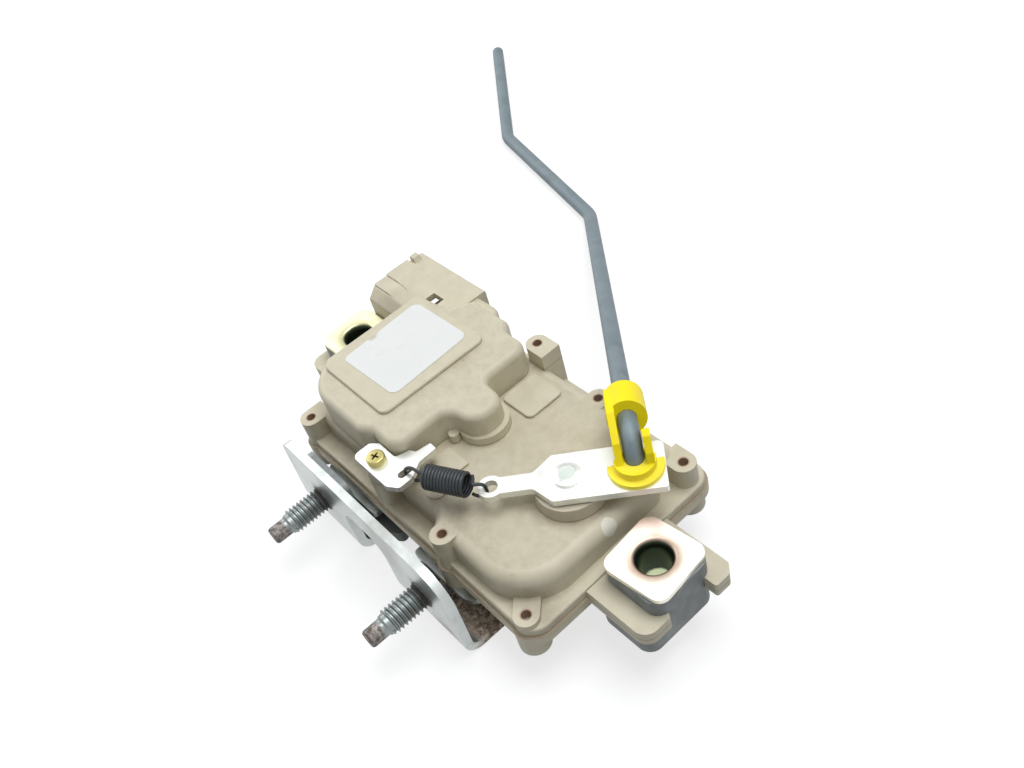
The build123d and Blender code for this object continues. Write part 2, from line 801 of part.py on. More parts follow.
# Torsion springs round the two rivets
for name, x, y, leg_a, leg_b in (
    ("fork_spring", fork_x, fork_y, 150, 20), ("pawl_spring", pawl_x, pawl_y, -30, 75),
):
    with BuildPart() as torsion:
        with BuildSketch(Plane.XY.offset(works_high + 0.25)):
            with Locations((x, y)):
                Circle(torsion_r)
                Circle(torsion_r - torsion_wire, mode=Mode.SUBTRACT)
                Circle(rivet_r + 0.4)
                Circle(rivet_r + running, mode=Mode.SUBTRACT)
            for leg in (leg_a, leg_b):
                with Locations(Location((x, y, 0), (0, 0, leg))):
                    with Locations((torsion_r + 2.6, 0)):
                        Rectangle(6.0, torsion_wire)
                    with Locations((torsion_r / 2 + rivet_r / 2, 0)):
                        Rectangle(torsion_r - rivet_r, torsion_wire)
        extrude(amount=torsion_wire)
    torsion.part.label = name
    export_step(torsion.part, f"parts/{name}.step")

# Rubber buffer behind the flange
with BuildPart() as striker_buffer:
    with BuildSketch(Plane(origin=(0, flange_inner, 0), x_dir=(1, 0, 0), z_dir=(0, -1, 0))):
        with BuildLine():
            FilletPolyline(
                *box_points(-81.0, -0.4, throat_left - 0.8, 13.6), radius=[2] * 4, close=True
            )
        make_face()
        with Locations((stud_left_x, stud_z)):
            Circle(stud_head_r + fixed, mode=Mode.SUBTRACT)
    extrude(amount=-2.2)
striker_buffer.part.label = "striker_buffer"

# Output shaft, its two bushes and the drive arm inside the housing
with BuildPart() as output_shaft:
    with BuildSketch(Plane.XZ):
        with BuildLine():
            Polyline(
                (shaft_x, shaft_low), (shaft_x + shaft_r - 0.4, shaft_low),
                (shaft_x + shaft_r, shaft_low + 0.4), (shaft_x + shaft_r, lever_low),
                (shaft_x + neck_r, lever_low), (shaft_x + neck_r, lever_top),
                (shaft_x + rivet_head_r, lever_top),
                (shaft_x + rivet_head_r, lever_top + rivet_head_h * 0.6),
                (shaft_x + rivet_head_r * 0.6, lever_top + rivet_head_h),
                (shaft_x, lever_top + rivet_head_h), close=True,
            )
        make_face()
    revolve(axis=Axis((shaft_x, shaft_y, 0), (0, 0, 1)))
output_shaft.part.label = "output_shaft"
with BuildPart() as shaft_bushes:
    for low, high in ((shell_floor, shell_floor + 4.0), (deck - wall - 2.5, dome_top)):
        with Locations((shaft_x, shaft_y, low)):
            Cylinder(shaft_r + 1.2, high - low, align=(Align.CENTER, Align.CENTER, Align.MIN))
            Cylinder(
                shaft_r + running, high - low,
                align=(Align.CENTER, Align.CENTER, Align.MIN), mode=Mode.SUBTRACT,
            )
shaft_bushes.part.label = "shaft_bushes"

wheel_low = motor_axis_z - wheel_t / 2
arm_low = wheel_low - seat_gap - drive_arm_t
arm_reach = wheel_x - shaft_x + drive_pin_radius + 0.2
with BuildPart() as drive_arm:
    with BuildSketch(Plane.XY.offset(arm_low)):
        with Locations((shaft_x, shaft_y)):
            Circle(shaft_r + 2.5)
            with Locations((arm_reach / 2, 0)):
                Rectangle(-arm_reach, 2 * drive_arm_half)
            with Locations((arm_reach, 0)):
                Circle(drive_arm_half)
            Circle(shaft_r + fixed, mode=Mode.SUBTRACT)
    extrude(amount=drive_arm_t)
drive_arm.part.label = "drive_arm"

# Worm wheel with its driving pin, turned about a fixed pin
pitch_r = gear_module * wheel_teeth / 2
root_r = pitch_r - 1.2 * gear_module
lead = pi * gear_module * worm_starts
lead_angle = degrees(atan(lead / (2 * pi * worm_pitch_r)))
half_twist = degrees(wheel_t / 2 * tan(radians(lead_angle)) / pitch_r)
worm_outer_r = worm_pitch_r + 0.9 * gear_module
worm_root_r = worm_pitch_r - 1.2 * gear_module
with BuildPart() as worm_wheel:
    with Locations((wheel_x, wheel_y, wheel_low)):
        Cylinder(root_r, wheel_t, align=(Align.CENTER, Align.CENTER, Align.MIN))
    for tooth in range(wheel_teeth):
        turn = -90 + 360 / wheel_teeth * (tooth + 0.5)
        for level, twist in ((0, -half_twist), (wheel_t, half_twist)):
            facing = radians(turn + twist)
            with BuildSketch(
                Plane(origin=(wheel_x, wheel_y, wheel_low + level), x_dir=(cos(facing), sin(facing), 0))
            ):
                with BuildLine():
                    Polyline(
                        (root_r - 0.4, -0.8 * tooth_width), (pitch_r, -0.5 * tooth_width),
                        (pitch_r + 0.7 * gear_module, -0.28 * tooth_width),
                        (pitch_r + 0.7 * gear_module, 0.28 * tooth_width),
                        (pitch_r, 0.5 * tooth_width), (root_r - 0.4, 0.8 * tooth_width), close=True,
                    )
                make_face()
        loft(ruled=True)
    pin_at = radians(drive_pin_angle)
    with Locations(
        (
            wheel_x + drive_pin_radius * cos(pin_at), wheel_y + drive_pin_radius * sin(pin_at),
            arm_low + 0.2,
        )
    ):
        Cylinder(drive_pin_r, wheel_low - arm_low + 0.5, align=(Align.CENTER, Align.CENTER, Align.MIN))
    with Locations((wheel_x, wheel_y, shell_floor + 3.6 + seat_gap)):
        Cylinder(
            2.8, wheel_low - shell_floor - 3.4, align=(Align.CENTER, Align.CENTER, Align.MIN)
        )
        Cylinder(
            wheel_pin_r + running, 12,
            align=(Align.CENTER, Align.CENTER, Align.MIN), mode=Mode.SUBTRACT,
        )
worm_wheel.part.label = "worm_wheel"
wheel_pin = standing(wheel_pin_r, shell_floor + 1.0, deck - wall + 2.0, [(wheel_x, wheel_y)])
wheel_pin.part.label = "wheel_pin"

# Worm on the motor's shaft: a thread of two starts, right-handed
with BuildPart() as thread:
    with BuildLine() as path:
        Helix(pitch=lead, height=worm_length - 2 * worm_end, radius=worm_pitch_r)
    with BuildSketch(Plane(origin=path.line @ 0, x_dir=(1, 0, 0), z_dir=path.line % 0)):
        with BuildLine():
            Polyline(
                (-1.4 * gear_module, -0.75 * tooth_width), (0, -0.5 * tooth_width),
                (0.9 * gear_module, -0.25 * tooth_width), (0.9 * gear_module, 0.25 * tooth_width),
                (0, 0.5 * tooth_width), (-1.4 * gear_module, 0.75 * tooth_width), close=True,
            )
        make_face()
    sweep(path=path.line, is_frenet=True)
worm_start_turn = -360 * (worm_length / 2 - worm_end) / lead
with BuildPart() as worm:
    with Locations(
        Plane(
            origin=(wheel_x - worm_length / 2, motor_axis_y, motor_axis_z),
            x_dir=(0, 1, 0), z_dir=(1, 0, 0),
        ).location
    ):
        Cylinder(worm_root_r, worm_length, align=(Align.CENTER, Align.CENTER, Align.MIN))
        for start in range(worm_starts):
            with Locations(
                Location((0, 0, worm_end), (0, 0, worm_start_turn + 360 / worm_starts * start))
            ):
                add(thread.part)
        Cylinder(
            motor_shaft_r + fixed, worm_length,
            align=(Align.CENTER, Align.CENTER, Align.MIN), mode=Mode.SUBTRACT,
        )
worm.part.label = "worm"
with BuildPart() as motor_shaft:
    with BuildSketch(Plane.YZ.offset(motor_left + 2)):
        with Locations((motor_axis_y, motor_axis_z)):
            Circle(motor_shaft_r)
    extrude(amount=motor_shaft_end - motor_left)
motor_shaft.part.label = "motor_shaft"
with BuildPart() as motor_can:
    with BuildSketch(Plane.YZ.offset(motor_left + motor_cap_t)):
        with Locations((motor_axis_y, motor_axis_z)):
            Circle(motor_r)
            Rectangle(3 * motor_r, 2 * motor_half_t, mode=Mode.INTERSECT)
            Circle(motor_shaft_r + running, mode=Mode.SUBTRACT)
    extrude(amount=motor_right - motor_left - motor_cap_t)
    fillet(motor_can.edges().filter_by(GeomType.CIRCLE).group_by(Axis.X)[-1].group_by(SortBy.RADIUS)[-1], 0.8)
motor_can.part.label = "motor_can"
with BuildPart() as motor_end_cap:
    with BuildSketch(Plane.YZ.offset(motor_left)):
        with Locations((motor_axis_y, motor_axis_z)):
            Circle(motor_r - 0.5)
            Rectangle(3 * motor_r, 2 * motor_half_t - 1, mode=Mode.INTERSECT)
            Circle(motor_shaft_r + running, mode=Mode.SUBTRACT)
    extrude(amount=motor_cap_t)
motor_end_cap.part.label = "motor_end_cap"

# Release lever
lever_plane = Plane(origin=(shaft_x, shaft_y, lever_low), x_dir=lever_dir)
with BuildPart() as lever:
    with BuildSketch(lever_plane):
        with BuildLine():
            FilletPolyline(
                (lever_ring_u, -lever_neck_half), (-7.0, -lever_neck_half), (-3.1, -lever_half),
                (lever_end_u, -lever_half), (lever_end_u, lever_half), (-3.1, lever_half),
                (-7.0, lever_neck_half), (lever_ring_u, lever_neck_half),
                radius=[0, 1.5, 1.0, 0.6, 1.2, 1.0, 1.5, 0], close=True,
            )
        make_face()
        with Locations((lever_ring_u, 0)):
            Circle(lever_ring_r)
            Circle(lever_ring_hole_r, mode=Mode.SUBTRACT)
        Circle(neck_r + fixed, mode=Mode.SUBTRACT)
        with Locations((lever_rod_u, 0)):
            Circle(lever_rod_hole_r, mode=Mode.SUBTRACT)
    extrude(amount=lever_t)
lever.part.label = "lever"

# Control rod: up from the lever, over a tight bend, then away with two wide bends
rod_points = [
    (rod_x, rod_y, lever_low - rod_tail), (rod_x, rod_y, rod_peak_z),
    (-108.7, 84.1, rod_lie_z), (-164.0, 98.7, rod_lie_z), (-213.8, 136.5, rod_lie_z),
]
with BuildPart() as control_rod:
    with BuildLine() as rod_path:
        FilletPolyline(*rod_points, radius=[rod_bend_r, rod_wide_bend_r, rod_wide_bend_r])
    with BuildSketch(Plane(origin=rod_points[0], z_dir=(0, 0, 1))):
        Circle(rod_r)
    sweep(path=rod_path.line)
control_rod.part.label = "control_rod"
rod_wire = rod_path.wires()[0]
rod_share = control_rod.part.volume / (pi * rod_r ** 2 * rod_wire.length)
print("rod length", round(rod_wire.length, 1), "volume share", round(rod_share, 4))

# Rod clip: snaps into the lever's hole and closes round the rod
run = Vector(*rod_points[2]) - Vector(*rod_points[1])
run_flat = hypot(run.X, run.Y)
away = (run.X / run_flat, run.Y / run_flat, 0)
slope = run.Z / run_flat
clip_top = lever_top + clip_flange_t


def on_run(distance):
    """Point of the rod's first run, by its distance in plan from the lever's hole."""
    return (rod_x + away[0] * distance, rod_y + away[1] * distance, rod_peak_z + slope * distance)


upright = Plane(origin=(rod_x, rod_y, 0), x_dir=away, z_dir=Vector(*away).cross(Vector(0, 0, 1)))
with BuildPart() as rod_clip:
    with Locations((rod_x, rod_y, lever_low - 0.9)):
        Cylinder(
            lever_rod_hole_r - running, lever_t + 0.9,
            align=(Align.CENTER, Align.CENTER, Align.MIN),
        )
    with Locations((rod_x, rod_y, lever_top)):
        Cylinder(clip_collar_r, clip_flange_t, align=(Align.CENTER, Align.CENTER, Align.MIN))
    # Flange and raised collar, on the side away from the rod's run
    for radius, high in ((clip_flange_r, clip_flange_t), (clip_collar_r, clip_flange_t + clip_collar_h)):
        with BuildSketch(Plane(origin=(rod_x, rod_y, lever_top), x_dir=away)):
            Circle(radius)
            with Locations((radius + clip_flange_cut, 0)):
                Rectangle(2 * radius, 2 * radius, mode=Mode.SUBTRACT)
        extrude(amount=high)
    with BuildSketch(Plane(origin=on_run(clip_sleeve_from), x_dir=upright.z_dir, z_dir=run)):
        Circle(clip_sleeve_r)
    extrude(amount=(clip_sleeve_to - clip_sleeve_from) * hypot(1, slope))
    # Long arm on one side of the rod, short wall on the other
    for side, outline in (
        (-1, [(-2.4, clip_top), (3.0, clip_top), (9.5, 25.2), (clip_sleeve_to, 23.6),
              (clip_sleeve_to, 27.8), (7.0, 30.6), (1.2, 27.6)]),
        (1, [(-2.2, clip_top), (3.0, clip_top), (3.8, 27.0), (2.6, 29.2), (0.6, 29.2), (-1.6, 26.4)]),
    ):
        with BuildSketch(upright.offset(side * (rod_r + 0.25 + clip_wall / 2))):
            with BuildLine():
                FilletPolyline(*outline, radius=0.6, close=True)
            make_face()
        extrude(amount=clip_wall / 2, both=True)
    with BuildSketch(Plane(origin=rod_points[0], z_dir=(0, 0, 1))):
        Circle(rod_r + running)
    sweep(path=rod_wire, mode=Mode.SUBTRACT)
rod_clip.part.label = "rod_clip"

# Anchor plate of the return spring, and its screw
with BuildPart() as spring_anchor:
    with BuildSketch(Plane.XY.offset(anchor_low)):
        with BuildLine():
            FilletPolyline(
                (-62.8, -26.0), (-50.0, -26.0), (-47.4, -24.4), (-47.4, -21.0), (-49.7, -17.3),
                (-49.8, -12.7), (-51.9, -12.6), (-52.5, -16.1), (-54.0, -16.8), (-55.0, -20.0),
                (-61.0, -19.9), (-62.8, -21.4),
                radius=[1.5, 1.5, 1, 1.5, 1, 0.3, 0.3, 0.5, 0.5, 1, 1, 0.6], close=True,
            )
        make_face()
        with Locations((anchor_screw_x, anchor_screw_y)):
            Circle(1.5 + fixed, mode=Mode.SUBTRACT)
        with Locations((anchor_hook_x, anchor_hook_y)):
            SlotOverall(3.6, 1.8, rotation=90, mode=Mode.SUBTRACT)
    extrude(amount=anchor_t)
spring_anchor.part.label = "spring_anchor"
with BuildPart() as anchor_screw:
    with BuildSketch(Plane.XZ.offset(-anchor_screw_y)):
        with BuildLine():
            Polyline(
                (anchor_screw_x, anchor_low - 6.5), (anchor_screw_x + 1.1, anchor_low - 6.5),
                (anchor_screw_x + 1.5, anchor_low - 6.0), (anchor_screw_x + 1.5, anchor_top),
                (anchor_screw_x + 2.6, anchor_top), (anchor_screw_x + 2.6, anchor_top + 1.0),
                (anchor_screw_x + 1.9, anchor_top + 1.8), (anchor_screw_x, anchor_top + 1.9),
                close=True,
            )
        make_face()
    revolve(axis=Axis((anchor_screw_x, anchor_screw_y, 0), (0, 0, 1)))
anchor_screw.part.label = "anchor_screw"

# Return spring: close coils between two hooks
spring_axis = Vector(spring_far_x - spring_near_x, spring_far_y - spring_near_y, 0)
spring_length = spring_axis.length
ring_x = shaft_x + lever_ring_u * lever_dir[0]
ring_y = shaft_y + lever_ring_u * lever_dir[1]
coil_plane = Plane(
    origin=(spring_near_x, spring_near_y, spring_axis_z), x_dir=spring_axis,
    z_dir=spring_axis.cross(Vector(0, 0, 1)),
)
with BuildPart() as return_spring:
    with BuildSketch(coil_plane):
        with Locations((spring_length / 2, 0)):
            Rectangle(spring_length - 2 * spring_wire_r, 2 * spring_r - 2 * spring_wire_r)
        for coil in range(spring_coils):
            along = spring_wire_r + coil * (spring_length - 2 * spring_wire_r) / (spring_coils - 1)
            with Locations((along, spring_r - spring_wire_r)):
                Circle(spring_wire_r)
        with Locations((spring_length / 2, -spring_r)):
            Rectangle(2 * spring_length, 2 * spring_r, mode=Mode.SUBTRACT)
    revolve(axis=Axis(coil_plane.origin, spring_axis))
    for hook_x, hook_y, end_x, end_y in (
        (anchor_hook_x, anchor_hook_y, spring_near_x, spring_near_y),
        (ring_x, ring_y, spring_far_x, spring_far_y),
    ):
        with BuildLine() as hook:
            FilletPolyline(
                (hook_x, hook_y, lever_low - 0.6), (hook_x, hook_y, spring_axis_z),
                (end_x + 0.1 * (end_x - hook_x), end_y + 0.1 * (end_y - hook_y), spring_axis_z),
                radius=0.8,
            )
        with BuildSketch(Plane(origin=(hook_x, hook_y, lever_low - 0.6), z_dir=(0, 0, 1))):
            Circle(spring_wire_r)
        sweep(path=hook.wires()[0])
return_spring.part.label = "return_spring"


# Grommets and collars of the two ears
def grommet(centre, side):
    """Square rubber grommet, its neck filling the ear's slot and closing the mouth."""
    with BuildPart() as rubber:
        skirt = grommet_skirt_back - grommet_skirt_front
        with BuildSketch(Plane.XY.offset(grommet_foot)):
            with Locations(
                (centre + side * grommet_skirt_shift, (grommet_skirt_back + grommet_skirt_front) / 2)
            ):
                RectangleRounded(grommet_skirt_w, skirt, grommet_corner)
        extrude(amount=ear_low - grommet_foot)
        with BuildSketch(Plane.XY.offset(ear_high)):
            with Locations((centre, 0)):
                RectangleRounded(grommet_w, grommet_w, grommet_corner)
        extrude(amount=collar_height - collar_plate_t - ear_high)
        with BuildSketch(Plane.XY.offset(ear_low)):
            with Locations((centre - side * (ear_slot_w / 2 - 0.1 - grommet_w / 4), 0)):
                RectangleRounded(grommet_w / 2, ear_slot_w - 0.1, 2.2)
            with Locations((centre + side * (grommet_mouth_x - 2.0), 0)):
                Rectangle(4.0, ear_slot_w - 0.1)
            with Locations((centre, 0)):
                Circle(collar_bore_r + collar_tube_wall + 0.6)
        extrude(amount=ear_high - ear_low)
        with Locations((centre, 0, 0)):
            Cylinder(
                collar_bore_r + collar_tube_wall + fixed, 3 * collar_height, mode=Mode.SUBTRACT
            )
    return rubber


def collar(centre, turn):
    """Steel tube with a square head and a flared mouth."""
    with BuildPart() as sleeve:
        with Locations((centre, 0, 0)):
            Cylinder(
                collar_bore_r + collar_tube_wall, collar_height - collar_plate_t,
                align=(Align.CENTER, Align.CENTER, Align.MIN),
            )
        with BuildSketch(Plane.XY.offset(collar_height - collar_plate_t)):
            with Locations(Location((centre, 0, 0), (0, 0, turn))):
                RectangleRounded(collar_plate_w, collar_plate_w, collar_plate_corner)
        extrude(amount=collar_plate_t)
        with Locations((centre, 0, 0)):
            Cylinder(
                collar_bore_r, collar_height,
                align=(Align.CENTER, Align.CENTER, Align.MIN), mode=Mode.SUBTRACT,
            )
        with Locations((centre, 0, collar_height - collar_plate_t)):
            Cone(
                collar_bore_r, collar_mouth_r, collar_plate_t,
                align=(Align.CENTER, Align.CENTER, Align.MIN), mode=Mode.SUBTRACT,
            )
    return sleeve


grommet_right = grommet(0.0, 1)
grommet_right.part.label = "grommet_right"
grommet_left = grommet(-collar_pitch, -1)
grommet_left.part.label = "grommet_left"
collar_right = collar(0.0, collar_turn)
collar_right.part.label = "collar_right"
collar_left = collar(-collar_pitch, 0.0)
collar_left.part.label = "collar_left"

# Blank label on the hump's pad
with BuildPart() as label:
    with BuildSketch(Plane.XY.offset(hump_top + pad_raise)):
        with BuildLine():
            FilletPolyline(
                (-85.5, -11.5), (-66.0, -10.8), (-67.2, 11.6), (-86.8, 11.3),
                radius=[1.5, 2, 2, 2], close=True,
            )
        make_face()
    extrude(amount=0.12)
label.part.label = "label"

# Connector blades and the screws that close the shells
with BuildPart() as connector_terminals:
    for y in (11.8, 15.4):
        with Locations(((blade_tip + blade_end) / 2, y, blade_z)):
            Box(blade_end - blade_tip, blade_w, blade_t)
    chamfer(
        connector_terminals.faces().sort_by(Axis.X)[0:2].edges().filter_by(Axis.Y), 0.2
    )
connector_terminals.part.label = "connector_terminals"
with BuildPart() as cover_screws:
    for x, y, top, turn in bosses:
        with Locations((x, y, shell_floor + 0.2)):
            Cylinder(
                cover_screw_head_r, cover_screw_head_t,
                align=(Align.CENTER, Align.CENTER, Align.MIN),
            )
            Cylinder(
                cover_screw_r, top - shell_floor - 2.6,
                align=(Align.CENTER, Align.CENTER, Align.MIN),
            )
cover_screws.part.label = "cover_screws"

pieces = [
    housing_case, housing_cover, latch_frame, mount_studs, back_plate, pivot_rivets, frame_spacers,
    frame_screws, fork_bolt, pawl, release_arm, striker_buffer, output_shaft, shaft_bushes, drive_arm,
    worm_wheel, wheel_pin, worm, motor_shaft, motor_can, motor_end_cap, lever, control_rod, rod_clip,
    spring_anchor, anchor_screw, return_spring, grommet_right, grommet_left, collar_right,
    collar_left, label, connector_terminals, cover_screws,
]
for piece in pieces:
    export_step(piece.part, f"parts/{piece.part.label}.step")
    print(piece.part.label, len(piece.part.solids()), round(piece.part.volume, 1))
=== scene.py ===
# %% [markdown]
# A tailgate lock with an electric release: a moulded tan housing on a bent steel latch frame,
# a flat steel lever with its return spring, and a long bent rod held by a yellow clip.
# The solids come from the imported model. This script dresses them: it gives every solid its
# finish, and models the small forms that the solids leave plain, such as threads and coils.

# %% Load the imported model
import math
import bmesh
import bpy
from mathutils import Matrix, Vector


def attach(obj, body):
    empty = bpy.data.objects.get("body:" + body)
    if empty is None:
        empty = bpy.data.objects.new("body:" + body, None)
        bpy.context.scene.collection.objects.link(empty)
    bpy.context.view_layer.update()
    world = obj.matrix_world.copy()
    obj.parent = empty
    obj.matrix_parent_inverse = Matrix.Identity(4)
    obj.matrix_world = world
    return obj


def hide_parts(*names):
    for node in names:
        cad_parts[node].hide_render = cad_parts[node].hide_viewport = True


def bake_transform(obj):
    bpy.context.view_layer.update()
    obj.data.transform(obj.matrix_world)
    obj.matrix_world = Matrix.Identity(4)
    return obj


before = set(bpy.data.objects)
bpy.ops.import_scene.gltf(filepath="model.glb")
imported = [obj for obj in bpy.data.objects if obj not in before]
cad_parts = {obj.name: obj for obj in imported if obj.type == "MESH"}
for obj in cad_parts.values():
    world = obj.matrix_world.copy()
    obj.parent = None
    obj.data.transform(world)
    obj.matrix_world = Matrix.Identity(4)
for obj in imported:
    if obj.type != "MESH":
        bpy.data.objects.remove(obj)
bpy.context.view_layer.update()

# %% [markdown]
# The camera stands where the photograph was taken: to the right of the lock, above it and close.
# A camera is a rotation and a lens. The three vectors below are its right, up and backward
# directions, and they become the columns of its rotation. The lens is given in millimetres, for
# a sensor 36 mm wide.

# %% Camera
CAMERA_PLACE = Vector((0.0870, -0.0656, 0.1739))
CAMERA_RIGHT = Vector((0.6406, 0.7374, -0.2140))
CAMERA_UP = Vector((-0.4399, 0.5809, 0.6849))
CAMERA_BACK = Vector((0.6293, -0.3446, 0.6965))
camera_data = bpy.data.cameras.new("camera")
camera_data.lens = 35.19
camera_data.sensor_width = 36.0
camera_data.clip_start = 0.01
camera_data.clip_end = 20.0
camera = bpy.data.objects.new("camera", camera_data)
bpy.context.scene.collection.objects.link(camera)
camera_turn = Matrix((CAMERA_RIGHT, CAMERA_UP, CAMERA_BACK)).transposed()
camera.matrix_world = Matrix.Translation(CAMERA_PLACE) @ camera_turn.to_4x4()
bpy.context.scene.camera = camera
print("camera at", tuple(round(v, 4) for v in camera.location))

# %% [markdown]
# The floor, the surroundings and every finish are trees of shader nodes. By hand, nodes are
# dropped in and joined with the mouse. In a script, a few helpers keep a tree readable: each
# makes one node, links or sets its inputs, and hands its output on to the next.

# %% Node helpers
def chain(tree, kind, **settings):
    """One node with its settings, by attribute or by input name."""
    node = tree.nodes.new(kind)
    for name, value in settings.items():
        if hasattr(node, name):
            setattr(node, name, value)
        else:
            node.inputs[name.replace("_", " ")].default_value = value
    return node


def feed(tree, socket, source):
    """Links an output to a socket, or sets the socket to a plain value."""
    if isinstance(source, bpy.types.NodeSocket):
        tree.links.new(source, socket)
    else:
        socket.default_value = source


def compute(tree, operation, *sources):
    """A Math node with its inputs linked or set, as its output."""
    node = chain(tree, "ShaderNodeMath", operation=operation)
    for socket, source in zip(node.inputs, sources):
        feed(tree, socket, source)
    return node.outputs[0]


def compute_vector(tree, operation, *sources):
    """A Vector Math node with its inputs linked, as its output."""
    node = chain(tree, "ShaderNodeVectorMath", operation=operation)
    for socket, source in zip(node.inputs, sources):
        feed(tree, socket, source)
    return node.outputs["Value" if operation == "LENGTH" else "Vector"]


def in_range(tree, source, low, high, to_low=0.0, to_high=1.0, smooth=True):
    """A Map Range node from one pair of values to another, as its output."""
    node = chain(tree, "ShaderNodeMapRange", To_Min=to_low, To_Max=to_high)
    node.interpolation_type = "SMOOTHSTEP" if smooth else "LINEAR"
    for name, value in (("Value", source), ("From Min", low), ("From Max", high)):
        feed(tree, node.inputs[name], value)
    return node.outputs["Result"]


print("node helpers ready")

# %% [markdown]
# A product photograph has a white floor with only a faint shadow. A white floor would throw too
# much light back up at the lock, so this one is a wide sheet of middling grey that also glows
# for camera and mirror rays alone. The glow is weaker near the lock, where its shadow has to
# show, and full at 0.8 m and beyond, where the sheet meets the white surroundings.

# %% Floor
FLOOR_HEIGHT = -0.0072
FLOOR_SIZE = 6.0
GLOW_GROWS = (0.22, 0.80)
GLOW_LEVELS = (0.70, 1.0)
bpy.ops.object.select_all(action="DESELECT")
bpy.ops.mesh.primitive_plane_add(size=FLOOR_SIZE, location=(0.0, 0.0, FLOOR_HEIGHT))
floor = bpy.context.active_object
floor.name = "floor_sheet"
floor_finish = bpy.data.materials.new("white_floor")
floor_finish.use_nodes = True
floor_tree = floor_finish.node_tree
floor_shader = floor_tree.nodes["Principled BSDF"]
for name, value in (
    ("Base Color", (0.36, 0.365, 0.37, 1.0)), ("Roughness", 0.9), ("Specular IOR Level", 0.0),
    ("Emission Color", (1.0, 1.0, 1.0, 1.0)),
):
    floor_shader.inputs[name].default_value = value
floor_rays = floor_tree.nodes.new("ShaderNodeLightPath").outputs
floor_place = floor_tree.nodes.new("ShaderNodeTexCoord").outputs["Object"]
seen = compute(floor_tree, "MAXIMUM", floor_rays["Is Camera Ray"], floor_rays["Is Glossy Ray"])
from_lock = compute_vector(floor_tree, "LENGTH", floor_place)
glow = in_range(floor_tree, from_lock, *GLOW_GROWS, *GLOW_LEVELS)
feed(floor_tree, floor_shader.inputs["Emission Strength"],
     compute(floor_tree, "MULTIPLY", seen, glow))
floor.data.materials.append(floor_finish)
print("floor at", FLOOR_HEIGHT, "glow grows between", GLOW_GROWS)

# %% [markdown]
# The light is a studio's: a large soft box overhead and a little behind the lock, a second one
# low on the left for the walls, a weak one on the right, and a bright even surrounding. Large
# lamps give wide soft highlights on bare metal. The surrounding is white to the camera, dimmer
# as a light, and brighter again in mirrors, so that metal shows the white studio round it.

# %% Lamps
def soft_box(name, place, aim, size, power):
    """One square area lamp that faces the point it is aimed at."""
    data = bpy.data.lights.new(name, "AREA")
    data.shape = "SQUARE"
    data.size = size
    data.energy = power
    lamp = bpy.data.objects.new(name, data)
    bpy.context.scene.collection.objects.link(lamp)
    lamp.location = place
    lamp.rotation_euler = (Vector(aim) - Vector(place)).to_track_quat("-Z", "Y").to_euler()
    return lamp


LOCK_MIDDLE = (-0.05, 0.0, 0.01)
soft_box("key_lamp", (0.0, 0.22, 0.80), LOCK_MIDDLE, size=0.55, power=4.9)
soft_box("fill_lamp", (0.45, -0.10, 0.60), LOCK_MIDDLE, size=0.8, power=0.8)
soft_box("side_lamp", (-0.75, -0.12, 0.40), LOCK_MIDDLE, size=0.6, power=2.3)

# %% Surroundings
WORLD_LIGHT = 0.24
WORLD_SEEN = 1.0
WORLD_SHINE = 0.66
world = bpy.data.worlds.new("studio")
bpy.context.scene.world = world
world.use_nodes = True
world_tree = world.node_tree
background = world_tree.nodes["Background"]
background.inputs["Color"].default_value = (1.0, 1.0, 1.0, 1.0)
world_rays = world_tree.nodes.new("ShaderNodeLightPath").outputs
world_seen = compute(
    world_tree, "MAXIMUM", world_rays["Is Camera Ray"], world_rays["Is Transmission Ray"],
)
world_level = in_range(world_tree, world_seen, 0.0, 1.0, WORLD_LIGHT, WORLD_SEEN, smooth=False)
feed(world_tree, background.inputs["Strength"], compute(
    world_tree, "MULTIPLY_ADD", world_rays["Is Glossy Ray"], WORLD_SHINE, world_level,
))
bpy.context.scene.view_settings.view_transform = "Standard"
print("surroundings light", WORLD_LIGHT, "seen", WORLD_SEEN, "in mirrors", WORLD_SHINE)

# %% [markdown]
# Small steel parts are turned, rolled or stamped, so most of them start as a cylinder or a box.
# By hand one adds the primitive, picks faces, extrudes and scales. The helpers below do the
# same. At the end a piece is settled: its place moves into the mesh, doubles are merged, and
# the normals point outwards, so that the object itself stays at the origin.

# %% Helpers that add and place a piece
MM = 0.001


def select_only(piece):
    """Only this piece selected, and active."""
    bpy.ops.object.select_all(action="DESELECT")
    bpy.context.view_layer.objects.active = piece
    piece.select_set(True)


def put(piece, placing=None):
    """Moves and turns the mesh itself, so that the object sits at the origin."""
    if placing is not None:
        piece.matrix_world = placing
    select_only(piece)
    bpy.ops.object.transform_apply(location=True, rotation=True, scale=True)


def add_round(name, radius, low, high, sides=48):
    """A cylinder on the Z axis between two heights, in metres."""
    bpy.ops.object.select_all(action="DESELECT")
    bpy.ops.mesh.primitive_cylinder_add(
        vertices=sides, radius=radius, depth=high - low, location=(0.0, 0.0, (low + high) / 2),
    )
    piece = bpy.context.active_object
    piece.name = name
    put(piece)
    return piece


def add_box(name, middle, lengths):
    """A box round its middle, in millimetres."""
    bpy.ops.object.select_all(action="DESELECT")
    bpy.ops.mesh.primitive_cube_add(
        size=1.0, location=[v * MM for v in middle], scale=[v * MM for v in lengths],
    )
    piece = bpy.context.active_object
    piece.name = name
    put(piece)
    return piece


print("helpers that add and place ready")

